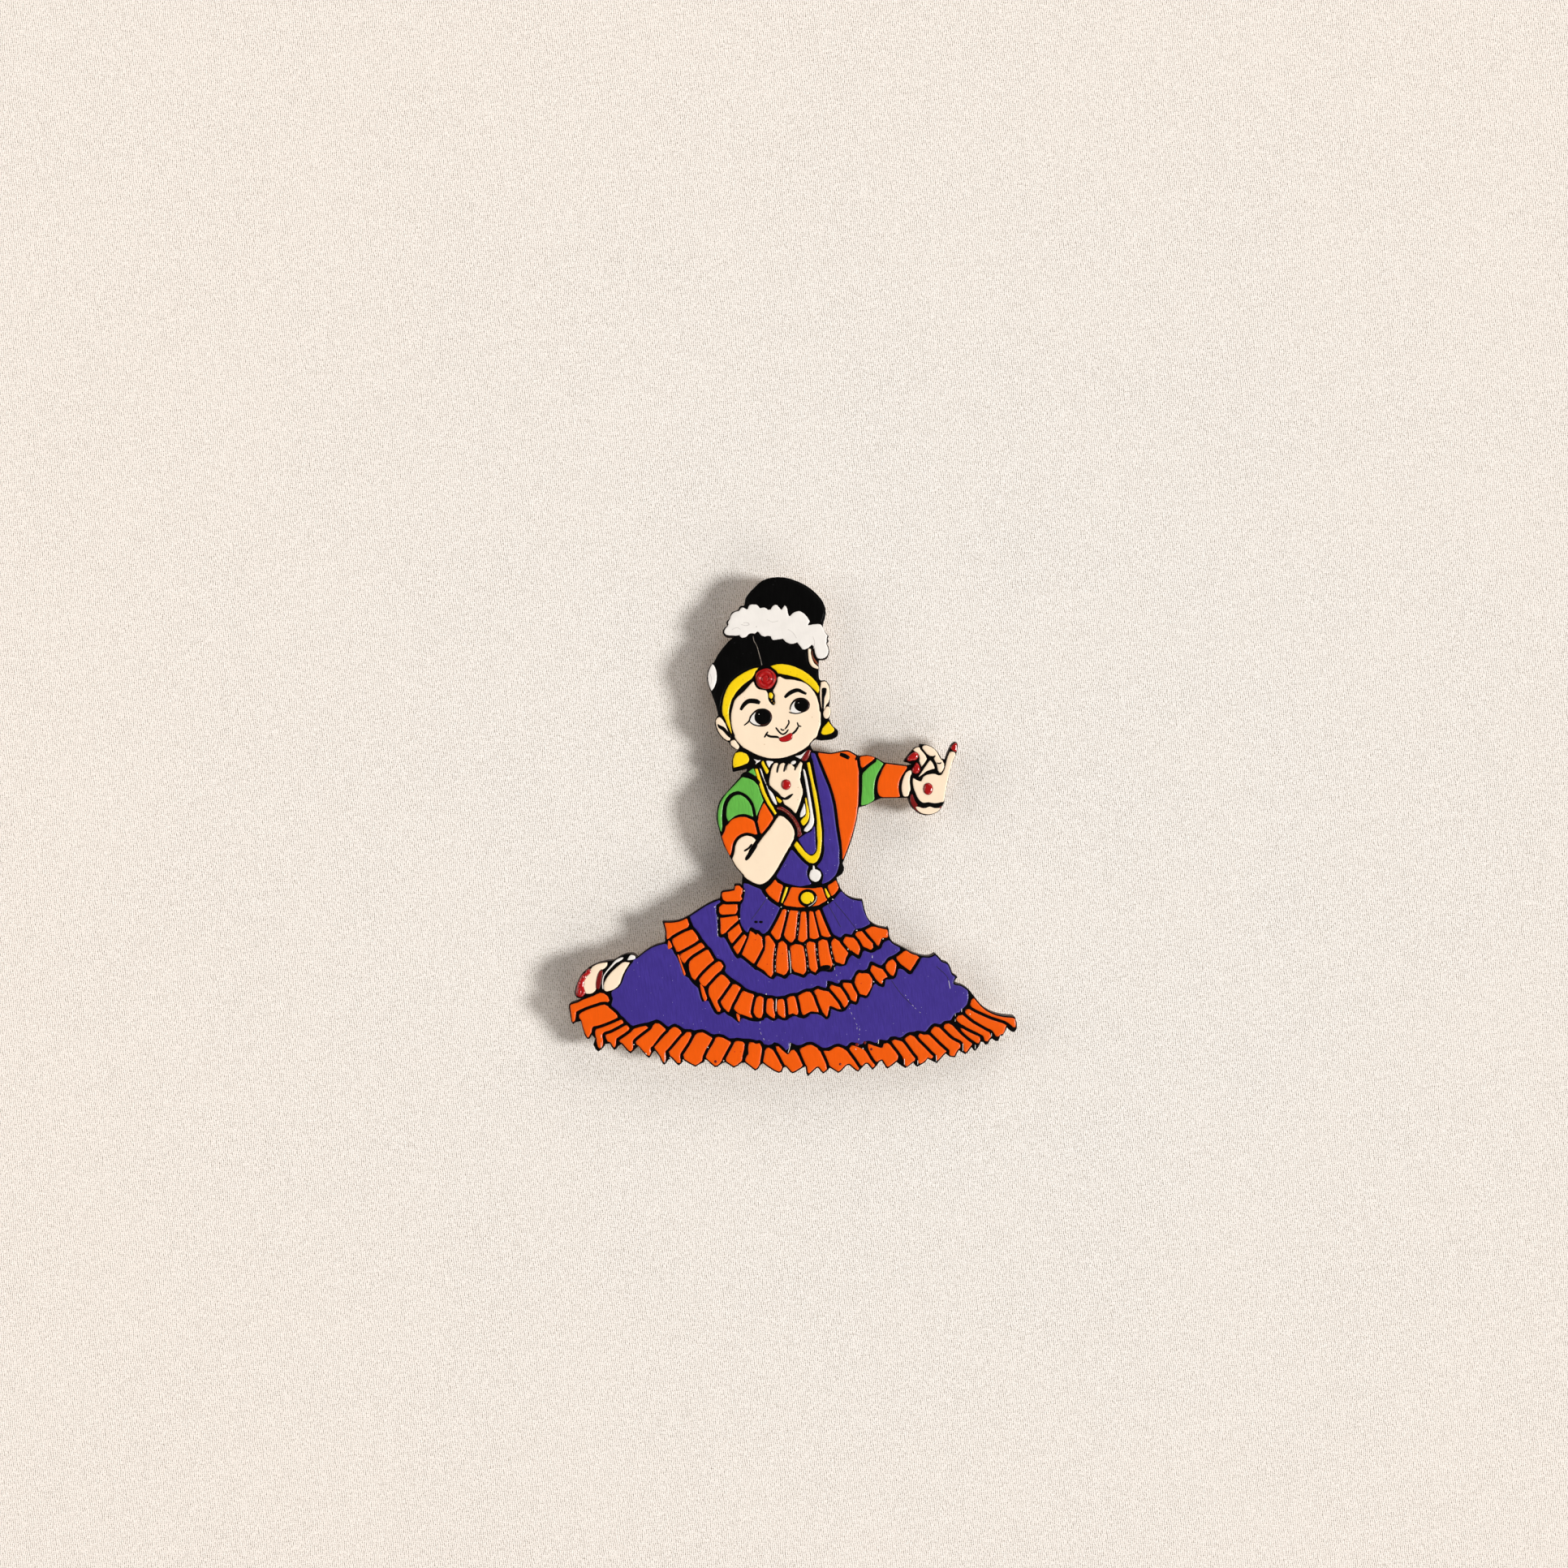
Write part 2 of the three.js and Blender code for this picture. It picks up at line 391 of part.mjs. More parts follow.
// ---------------------------------------------------------------- raised arm, on the left
const SLEEVE_LEFT = [
  ...curve([-6.8, 31.25], [-5.67, 31.0], [-4.5, 30.35], [-4.2, 30.0]),
  ...curve([-4.2, 30.0], [-3.9, 29.0], [-3.4, 27.7]),
  ...curve([-3.45, 27.6], [-4.0, 26.4], [-4.5, 25.15]),
  ...curve([-4.5, 25.2], [-4.75, 26.4], [-5.3, 27.85], [-6.3, 28.85], [-7.4, 29.25], [-8.7, 28.75],
    [-9.6, 27.4], [-9.9, 25.5], [-9.9, 24.0], [-9.83, 22.85]),
  ...curve([-10.1, 23.1], [-10.4, 24.25], [-10.45, 25.9], [-10.1, 27.3], [-9.2, 28.75], [-7.9, 30.1]),
];

const SLEEVE_INNER_LEFT = [
  ...curve([-8.94, 24.5], [-9.05, 25.6], [-8.85, 27.1], [-8.1, 28.2], [-7.2, 28.5], [-6.2, 28.05],
    [-5.3, 26.9], [-4.96, 25.2]),
  ...curve([-5.2, 25.3], [-6.3, 25.6], [-7.6, 25.4], [-8.87, 24.45]),
];

const CUFF_LEFT = [
  ...curve([-9.85, 22.1], [-9.3, 23.3], [-8.5, 24.6], [-7.5, 25.1], [-6.3, 25.2], [-5.2, 24.7],
    [-4.65, 23.8], [-4.45, 22.6]),
  ...curve([-4.6, 22.6], [-6.0, 22.85], [-7.2, 22.4], [-8.0, 21.4], [-8.3, 20.0], [-8.6, 19.1]),
  ...curve([-8.65, 19.2], [-9.4, 20.75], [-9.85, 22.1]),
];

const BODICE_ORANGE = [
  ...curve([-3.3, 27.4], [-2.6, 26.3], [-1.95, 25.2]),
  ...curve([-1.95, 25.1], [-2.9, 23.65], [-3.74, 22.7]),
  ...curve([-3.9, 22.85], [-4.25, 24.1], [-4.1, 25.8], [-3.5, 27.2]),
];

// The forearm and the elbow, up to the crease that parts it from the upper arm.
const FOREARM_LEFT = [
  ...curve([-1.0, 25.3], [-0.4, 25.1], [0.4, 24.4], [1.05, 23.6], [1.35, 22.9], [1.2, 22.0],
    [0.5, 20.4], [-0.6, 18.5], [-1.9, 16.5], [-3.0, 15.3], [-4.0, 14.9], [-5.2, 15.3], [-6.4, 16.15],
    [-7.6, 17.5], [-8.25, 18.6]),
  ...curve([-8.25, 18.65], [-7.95, 19.4], [-7.75, 20.8], [-7.2, 21.7], [-6.2, 22.2], [-5.2, 22.0],
    [-4.75, 21.6]),
  ...line([-5.7, 20.2], [-6.2, 18.85], [-6.0, 18.5]),
  ...curve([-5.9, 18.55], [-5.0, 19.75], [-3.4, 22.0], [-2.2, 23.5], [-1.1, 25.2]),
];

const HAND_LEFT = [
  ...curve([-2.55, 30.1], [-2.35, 31.3], [-1.97, 32.85], [-1.55, 33.4], [-1.2, 33.3], [-1.3, 32.8]),
  ...line([-1.35, 32.3], [-1.2, 32.3]),
  ...curve([-1.1, 32.5], [-0.8, 33.15], [-0.4, 33.4], [-0.05, 33.15], [-0.1, 32.6]),
  ...line([-0.1, 32.2], [0.1, 32.2]),
  ...curve([0.15, 32.3], [0.4, 33.1], [0.6, 33.35], [1.0, 33.0], [1.55, 32.5], [2.0, 33.1], [2.35, 33.6],
    [2.5, 33.3], [2.4, 32.2], [2.08, 31.0], [2.3, 30.1], [2.52, 29.1], [2.3, 28.0], [1.9, 26.8],
    [1.5, 25.75]),
  ...curve([1.4, 25.8], [0.8, 26.45], [-0.1, 27.1], [-0.35, 27.9], [-0.95, 28.9], [-1.7, 29.5],
    [-2.55, 30.1]),
];

const PALM_DOT_LEFT = oval([0.08, 30.15], 0.75, 0.85);

const BANGLE_LEFT = [
  ...curve([-1.3, 26.8], [-0.5, 26.7], [0.5, 26.1], [1.4, 25.1], [2.1, 23.9], [2.55, 22.5]),
  ...line([2.15, 22.15], [1.8, 22.1]),
  ...curve([1.85, 22.5], [1.7, 23.5], [1.1, 24.65], [0.2, 25.65], [-0.7, 26.2], [-1.4, 26.3]),
];

// ---------------------------------------------------------------- bodice and necklaces
const NECKLACE_LEFT = [
  ...curve([-4.73, 32.6], [-4.25, 30.8], [-3.77, 29.1], [-2.8, 27.1], [-1.65, 25.45]),
  ...curve([-1.4, 25.8], [-2.3, 27.35], [-3.13, 29.0], [-3.6, 30.4], [-4.3, 32.6]),
];

const NECKLACE_RIGHT = [
  ...curve([3.67, 33.6], [4.1, 31.6], [4.76, 28.9], [5.1, 26.9], [5.4, 24.4], [5.6, 22.8], [5.5, 20.4],
    [5.0, 18.7], [4.3, 18.0], [3.4, 18.3], [2.4, 19.25], [1.3, 20.8]),
  ...curve([1.7, 21.4], [2.4, 20.5], [3.15, 19.6], [4.0, 19.15], [4.7, 19.7], [4.95, 20.9],
    [4.85, 22.6], [4.8, 24.4], [4.55, 26.6], [4.1, 29.2], [3.65, 31.8], [3.3, 33.5]),
];

const CHAIN_LEFT = [
  ...curve([-4.1, 32.85], [-3.7, 31.6], [-3.1, 30.25], [-2.4, 28.3], [-1.75, 27.2], [-1.3, 26.95]),
  ...curve([-1.35, 27.2], [-1.9, 28.6], [-2.5, 29.4], [-3.06, 30.4], [-3.75, 32.5]),
];

const CHAIN_RIGHT = [
  ...curve([2.6, 32.6], [3.0, 30.9], [3.25, 29.1], [3.6, 27.1], [3.8, 25.5], [3.6, 24.3], [2.9, 23.35],
    [2.75, 23.0]),
  ...curve([3.3, 22.9], [4.0, 23.5], [4.4, 24.5], [4.2, 26.0], [3.85, 28.1], [3.4, 30.6], [2.9, 32.5]),
];

const PENDANT = [
  ...line([4.15, 17.75], [4.4, 17.8], [4.55, 17.15]),
  ...curve([4.7, 17.13], [5.3, 16.8], [5.5, 16.15], [5.15, 15.45], [4.5, 15.2], [3.85, 15.5], [3.6, 16.2],
    [3.9, 16.9], [4.2, 17.1]),
];

const BODICE_SIDE = [
  ...line([4.1, 34.9], [4.55, 34.9]),
  ...curve([4.6, 34.8], [5.5, 32.4], [6.7, 29.5], [7.35, 27.0], [7.65, 24.0], [8.0, 22.0], [8.3, 20.2],
    [8.15, 18.4], [7.6, 16.5], [6.9, 15.4], [5.7, 14.85]),
  ...curve([5.6, 14.95], [5.7, 15.6], [5.75, 16.3], [5.4, 17.0], [4.85, 17.45]),
  ...curve([4.85, 17.6], [5.6, 18.4], [5.95, 19.7], [5.85, 21.2], [5.9, 22.7], [5.75, 24.6], [5.4, 26.9],
    [5.05, 28.9], [4.7, 31.0], [4.4, 33.0]),
];

const BODICE_WAIST = [
  ...curve([0.85, 20.1], [1.74, 19.3], [2.64, 18.3], [3.45, 17.6]),
  ...curve([3.4, 17.5], [3.3, 16.5], [3.5, 15.7], [3.95, 15.0]),
  ...curve([3.9, 14.85], [2.3, 14.45], [0.9, 14.7], [-0.2, 15.0], [-1.3, 15.75]),
  ...curve([-1.35, 15.95], [-0.5, 17.6], [0.2, 19.0], [0.7, 20.0]),
];

// ---------------------------------------------------------------- stretched arm, on the right
const SASH = [
  ...curve([5.0, 35.05], [7.0, 34.9], [8.8, 35.25], [9.7, 35.25], [10.75, 34.6]),
  ...curve([10.75, 34.4], [11.05, 32.0], [11.1, 29.5], [11.1, 27.0], [10.95, 25.3], [10.15, 22.1],
    [9.2, 19.4], [8.85, 18.6]),
  ...curve([8.75, 18.9], [8.6, 21.0], [8.2, 24.0], [7.85, 26.6], [7.1, 29.5], [6.0, 32.4], [5.0, 34.7]),
];

const SHOULDER_CAP = [
  ...curve([11.5, 34.5], [12.5, 34.62], [13.3, 34.5], [13.75, 34.3]),
  ...curve([13.65, 34.1], [12.87, 33.6], [11.85, 32.95]),
  ...curve([11.75, 33.1], [11.6, 33.9], [11.5, 34.5]),
];

const SLEEVE_RIGHT = [
  ...curve([14.0, 34.15], [14.6, 33.75], [15.1, 33.4]),
  ...curve([15.0, 33.25], [14.4, 32.25], [13.8, 31.0], [13.5, 29.4], [13.6, 27.8]),
  ...curve([13.5, 27.65], [12.6, 27.1], [11.65, 26.9]),
  ...curve([11.65, 27.1], [11.85, 29.0], [11.88, 31.5]),
  ...curve([12.0, 31.9], [12.9, 32.8], [13.87, 33.6]),
];

const CUFF_RIGHT = [
  ...curve([15.5, 33.4], [17.2, 33.2], [18.65, 33.0]),
  ...curve([18.65, 32.6], [17.9, 31.5], [17.45, 30.4], [17.4, 29.4], [17.6, 28.3]),
  ...line([17.2, 28.2], [15.0, 28.2]),
  ...curve([14.8, 28.25], [14.3, 29.4], [14.3, 30.8], [14.75, 32.2], [15.35, 33.3]),
];

const WRIST_RIGHT = curve([18.9, 32.3], [19.28, 32.3], [19.25, 31.7], [19.05, 30.4], [19.1, 29.2],
  [18.9, 28.4], [18.4, 28.3], [18.0, 28.75], [17.85, 29.7], [18.05, 31.0], [18.5, 32.0]);

const PALM_RIGHT = [
  ...line([19.6, 31.2], [19.75, 31.05]),
  ...curve([20.0, 30.8], [20.7, 30.55], [21.0, 30.6], [21.3, 31.25], [22.1, 31.65], [23.2, 31.7],
    [23.85, 31.6], [24.4, 32.4], [24.7, 33.6], [25.0, 34.6], [25.35, 35.15]),
  ...curve([25.5, 35.15], [26.2, 34.95], [25.7, 33.6], [25.1, 31.3], [24.7, 29.1], [24.45, 27.75]),
  ...curve([24.3, 27.5], [23.3, 27.25], [21.9, 27.35], [20.9, 27.4], [20.3, 28.1], [20.0, 29.2],
    [19.55, 30.8]),
];

const FINGER_INDEX = [
  ...curve([21.1, 36.1], [21.6, 36.25], [22.6, 35.9], [23.35, 35.15], [23.9, 34.1], [24.4, 33.45],
    [24.4, 32.7], [23.95, 31.95]),
  ...curve([23.65, 31.95], [23.5, 32.7], [23.35, 33.45], [23.05, 33.9], [22.9, 34.65]),
  ...curve([22.7, 34.65], [22.0, 34.7], [21.5, 35.15], [21.0, 35.8]),
];

const THUMB_RIGHT = [
  ...curve([19.5, 35.45], [20.0, 35.85], [20.6, 35.95], [20.8, 35.55], [21.3, 35.0], [21.7, 34.3],
    [21.45, 33.8], [20.95, 33.1]),
  ...curve([20.9, 33.2], [20.7, 33.8], [20.75, 34.3], [20.5, 35.0], [19.9, 35.4]),
];

const NAIL_UPPER = loop([19.9, 35.2], [20.35, 34.7], [20.1, 34.15], [19.3, 33.75], [18.65, 33.8],
  [18.7, 34.3], [19.3, 34.95]);

const NAIL_LOWER = loop([20.05, 33.55], [20.45, 33.1], [20.55, 32.3], [20.2, 31.95], [19.65, 32.1],
  [19.55, 32.6], [19.75, 33.1]);

const PALM_DOT_RIGHT = oval([21.95, 29.5], 0.77, 0.95);

const BANGLE_RIGHT = [
  ...curve([19.2, 28.6], [19.15, 27.6], [19.7, 26.5], [20.7, 25.75], [21.85, 25.52], [22.9, 25.75],
    [23.8, 26.35], [24.3, 27.2]),
  ...curve([24.05, 27.2], [23.3, 26.95], [22.0, 27.1], [20.6, 27.1], [19.9, 27.9], [19.5, 28.75]),
];

// ---------------------------------------------------------------- belt
const BELT = [
  ...curve([-3.15, 14.1], [-2.3, 14.8], [-1.65, 15.5]),
  ...curve([-1.5, 15.35], [0.0, 14.65], [2.0, 14.3], [4.2, 14.2], [6.2, 14.5], [7.1, 15.0], [7.75, 15.45]),
  ...curve([7.9, 15.1], [8.1, 14.6], [8.2, 14.2]),
  ...curve([8.1, 14.0], [7.2, 12.95], [6.0, 12.1], [4.8, 11.45], [2.6, 11.15], [0.6, 11.35], [-1.1, 11.95],
    [-2.3, 12.8], [-3.05, 13.75]),
];

const BELT_BAR_LEFT = line([0.0, 14.45], [0.42, 14.35], [0.2, 13.55], [-0.18, 12.55], [-0.5, 11.85],
  [-0.76, 12.0], [-0.5, 12.8], [-0.18, 13.8]);

const BELT_BAR_RIGHT = line([5.97, 14.3], [6.25, 14.1], [6.7, 13.3], [6.9, 12.95], [6.5, 12.6], [6.2, 13.2],
  [6.0, 13.9]);

const BELT_BUCKLE = oval([3.4, 12.67], 1.1, 0.97);

// ---------------------------------------------------------------- skirt
// Five pleats of the fan below the belt, from left to right.
const FAN_PLEATS = [
  line([-0.5, 10.85], [0.2, 10.85], [-0.1, 9.3], [-0.6, 7.4], [-0.85, 6.7], [-1.25, 6.4], [-2.2, 7.25],
    [-1.4, 9.0]),
  line([0.6, 10.75], [1.87, 10.7], [1.74, 8.8], [1.5, 6.5], [0.85, 6.05], [-0.3, 7.0], [0.08, 8.7]),
  line([2.38, 10.5], [3.15, 10.5], [3.3, 8.8], [3.35, 6.45], [2.77, 5.95], [1.87, 6.25], [2.13, 8.3]),
  line([3.6, 10.6], [4.24, 10.6], [4.7, 8.7], [5.2, 6.65], [3.67, 6.5], [3.6, 8.3]),
  line([4.5, 10.6], [5.2, 10.8], [5.97, 8.8], [6.74, 7.3], [6.94, 6.8], [5.5, 6.9], [5.08, 8.3]),
];
const FAN_RIBBON = band([-0.6, 9.6, 1.4], [1.2, 9.2, 1.4], [3.2, 9.2, 1.4], [5.4, 9.5, 1.4]);

const SKIRT_FRONT_LEFT = [
  ...curve([-6.5, 14.9], [-5.3, 14.45], [-4.4, 14.05], [-3.85, 13.8]),
  ...curve([-3.8, 13.6], [-3.1, 12.7], [-2.2, 11.95], [-0.95, 11.15]),
  ...curve([-0.95, 11.0], [-1.6, 9.6], [-2.3, 8.45], [-2.95, 7.6]),
  ...curve([-3.1, 7.3], [-3.4, 7.15], [-3.8, 7.4], [-4.15, 7.9], [-4.45, 7.85], [-4.8, 8.1], [-5.4, 8.2],
    [-5.75, 7.45]),
  ...curve([-5.9, 7.35], [-6.5, 7.9], [-7.0, 8.9], [-7.05, 10.2], [-6.95, 11.6], [-6.55, 12.3],
    [-6.35, 13.3]),
  ...line([-6.3, 13.9], [-6.5, 14.3]),
];

const SKIRT_FRONT_RIGHT = [
  ...curve([5.65, 11.1], [6.6, 11.55], [7.4, 12.35], [8.0, 13.2], [8.55, 13.8]),
  ...curve([8.6, 13.75], [9.4, 12.95], [10.4, 12.4], [11.7, 12.25]),
  ...curve([11.75, 12.1], [12.0, 10.9], [12.5, 9.7], [13.05, 8.85]),
  ...curve([12.9, 8.75], [12.1, 8.2], [11.2, 8.0], [10.5, 7.7], [10.2, 7.1]),
  ...curve([10.1, 7.0], [9.1, 7.15], [8.6, 6.75], [7.9, 6.9], [7.2, 7.3], [6.6, 8.8], [6.1, 10.0]),
];

// The violet band between the upper and the middle ruffle, from the left knee to the right one.
const SKIRT_MIDDLE = [
  ...curve([-14.8, 9.85], [-13.4, 10.8], [-11.9, 11.7], [-10.2, 12.4]),
  ...line([-10.15, 12.0], [-10.75, 11.7]),
  ...curve([-10.75, 11.7], [-10.75, 10.4], [-10.5, 8.7], [-10.45, 7.0], [-10.1, 6.5]),
  ...curve([-9.6, 6.5], [-8.9, 5.4], [-8.1, 4.0], [-7.5, 3.05]),
  ...curve([-6.9, 3.35], [-5.8, 2.45], [-4.8, 1.4]),
  ...curve([-4.3, 1.45], [-3.4, 1.0], [-2.4, 0.3], [-1.9, 0.2]),
  ...curve([-1.3, 0.6], [-0.7, 0.45], [-0.1, 0.1], [0.4, 0.35], [0.9, 0.95]),
  ...curve([1.0, 1.0], [1.9, 0.7], [2.8, 0.3], [3.3, 0.7], [3.8, 1.15]),
  ...curve([3.9, 1.1], [4.6, 0.8], [5.2, 1.25], [6.1, 1.15], [7.3, 1.2]),
  ...curve([7.4, 1.3], [7.7, 2.1], [8.6, 2.2], [9.3, 2.4], [9.7, 3.3], [10.2, 3.65]),
  ...curve([10.3, 3.65], [10.9, 3.3], [11.35, 3.0], [11.75, 3.8], [12.1, 4.45], [12.9, 4.25]),
  ...curve([13.1, 4.25], [13.8, 4.35], [14.8, 4.8], [15.1, 5.5], [15.7, 6.05]),
  ...curve([15.9, 6.05], [16.7, 5.5], [17.5, 5.0]),
  ...curve([17.5, 4.7], [16.9, 4.1], [15.9, 3.75], [15.3, 2.8], [14.7, 2.4], [13.9, 2.7], [13.2, 3.15]),
  ...curve([12.8, 3.0], [12.5, 2.0], [11.9, 1.55], [11.2, 1.75]),
  ...curve([10.9, 1.6], [10.5, 0.7], [10.0, 0.1], [9.2, 0.1], [8.5, 0.1]),
  ...curve([8.3, -0.3], [7.8, -0.4], [7.1, 0.0], [6.4, 0.2]),
  ...line([6.2, 0.05], [6.15, -0.9]),
  ...curve([6.1, -0.95], [5.5, -0.9], [4.9, -0.65], [4.0, -1.0], [3.0, -1.2], [2.2, -1.6], [1.2, -1.9],
    [0.2, -2.15], [-1.0, -2.35], [-2.3, -2.2], [-3.4, -1.9], [-5.4, -1.5], [-6.8, -0.35], [-8.2, 0.55],
    [-9.3, 1.5]),
  ...curve([-9.25, 2.2], [-9.7, 3.0], [-10.5, 3.35]),
  ...curve([-10.7, 3.6], [-11.4, 4.9], [-12.4, 6.1], [-13.1, 7.3], [-13.9, 8.2], [-14.6, 9.1]),
];

// The lowest violet field, between the middle ruffle and the hem.
const SKIRT_LOWER = [
  ...curve([-22.9, 3.4], [-21.9, 4.2], [-20.9, 4.9], [-20.0, 5.3], [-18.7, 5.65]),
  ...line([-18.45, 5.5], [-18.35, 4.9], [-18.0, 4.6], [-17.6, 4.7]),
  ...curve([-17.5, 4.6], [-17.0, 3.6], [-16.4, 2.2], [-15.9, 0.7], [-15.3, 0.3]),
  ...curve([-15.1, 0.2], [-14.6, -0.5], [-14.0, -1.05], [-13.7, -1.3]),
  ...curve([-13.7, -1.4], [-13.3, -2.8], [-12.9, -3.55], [-12.4, -3.35], [-12.0, -3.2]),
  ...curve([-11.9, -3.3], [-11.3, -4.4], [-10.8, -5.1], [-10.3, -5.3], [-9.7, -4.95]),
  ...curve([-9.4, -4.9], [-8.9, -5.4], [-8.1, -6.1], [-7.2, -6.75], [-6.8, -6.3]),
  ...curve([-6.7, -5.9], [-5.9, -6.1], [-4.7, -6.55], [-3.8, -6.2]),
  ...curve([-3.4, -6.1], [-3.0, -5.7], [-2.3, -6.1], [-1.7, -6.2], [-1.3, -5.9]),
  ...curve([-1.1, -5.9], [-0.3, -6.15], [0.4, -6.0], [1.1, -5.5], [1.7, -5.55], [2.5, -6.05], [3.1, -5.9],
    [3.7, -5.25]),
  ...curve([3.8, -5.15], [4.8, -5.15], [5.6, -5.5], [6.3, -6.0], [6.8, -5.5], [6.95, -4.4]),
  ...curve([7.1, -4.4], [8.2, -4.8], [9.0, -4.75], [9.5, -4.2], [10.0, -3.55]),
  ...curve([10.2, -3.6], [10.9, -3.75], [11.2, -3.3], [11.4, -2.6]),
  ...curve([11.6, -2.55], [12.3, -2.75], [12.7, -2.5], [13.2, -1.5], [13.6, -0.5]),
  ...curve([13.8, -0.5], [14.4, -0.9], [15.1, -1.1], [15.3, -0.4], [15.4, 0.2]),
  ...curve([15.6, 0.2], [16.4, 0.15], [17.0, 0.6], [17.2, 1.2], [17.3, 1.75]),
  ...curve([17.5, 1.8], [18.2, 1.3], [19.0, 0.9], [19.5, 1.1], [19.9, 1.75], [20.4, 2.3], [20.8, 3.3]),
  ...curve([20.95, 3.5], [21.6, 3.45], [22.3, 3.5], [22.95, 3.85]),
  ...curve([23.1, 3.8], [23.7, 3.15], [24.1, 2.8], [24.9, 2.5], [25.35, 1.6], [25.6, 0.9]),
  ...line([26.0, 0.55], [25.95, 0.1], [25.75, -0.5]),
  ...curve([25.9, -0.65], [27.0, -0.85], [27.7, -1.35], [27.95, -2.2], [27.8, -3.4], [27.3, -4.2],
    [26.8, -4.5]),
  ...curve([26.7, -4.9], [26.1, -5.0], [25.6, -5.4], [25.3, -6.0]),
  ...curve([25.1, -6.1], [24.3, -6.15], [23.8, -6.55]),
  ...curve([23.6, -6.6], [22.7, -6.6], [21.9, -7.1], [21.5, -7.85]),
  ...curve([21.3, -7.9], [20.6, -7.8], [20.0, -7.6], [19.4, -7.9], [18.5, -8.05], [17.6, -8.75]),
  ...curve([17.4, -8.8], [16.6, -8.5], [16.0, -8.5], [15.6, -9.0]),
  ...curve([15.4, -9.05], [14.4, -8.9], [14.0, -9.4]),
  ...curve([13.8, -9.45], [12.8, -9.15], [12.1, -9.2], [11.7, -9.6]),
  ...curve([11.5, -9.65], [10.7, -9.5], [10.0, -9.45], [9.4, -9.95]),
  ...curve([9.2, -10.05], [8.1, -9.6], [7.3, -9.75], [6.3, -10.15], [5.5, -10.15]),
  ...curve([5.2, -10.05], [4.2, -9.45], [3.3, -9.5], [2.4, -9.85], [1.5, -9.7], [0.8, -9.35], [0.4, -9.3]),
  ...line([0.4, -10.3], [0.05, -10.9]),
  ...curve([-0.2, -10.5], [-1.0, -9.8], [-1.9, -9.3]),
  ...curve([-2.1, -9.6], [-2.6, -10.0], [-3.2, -9.8], [-3.9, -9.25], [-4.8, -9.1], [-5.9, -8.75],
    [-6.6, -8.95], [-7.6, -8.65], [-8.5, -8.95]),
  ...curve([-8.7, -8.95], [-9.8, -8.3], [-10.8, -8.15], [-11.4, -8.25], [-12.2, -7.7], [-13.4, -7.4],
    [-14.3, -7.55]),
  ...curve([-14.6, -7.4], [-15.2, -7.4], [-16.2, -7.1], [-17.2, -6.6], [-18.0, -7.0]),
  ...curve([-18.3, -6.9], [-19.2, -6.2], [-19.9, -5.8], [-20.5, -6.0], [-22.0, -6.5], [-23.5, -6.85]),
  ...curve([-23.8, -6.7], [-24.8, -5.7], [-25.7, -4.7], [-26.7, -3.95]),
  ...line([-26.75, -3.3], [-26.5, -2.6], [-26.9, -1.95]),
  ...curve([-26.7, -1.6], [-25.7, -1.0], [-25.2, -0.2], [-24.8, 1.0], [-24.1, 2.2], [-23.4, 3.0]),
];

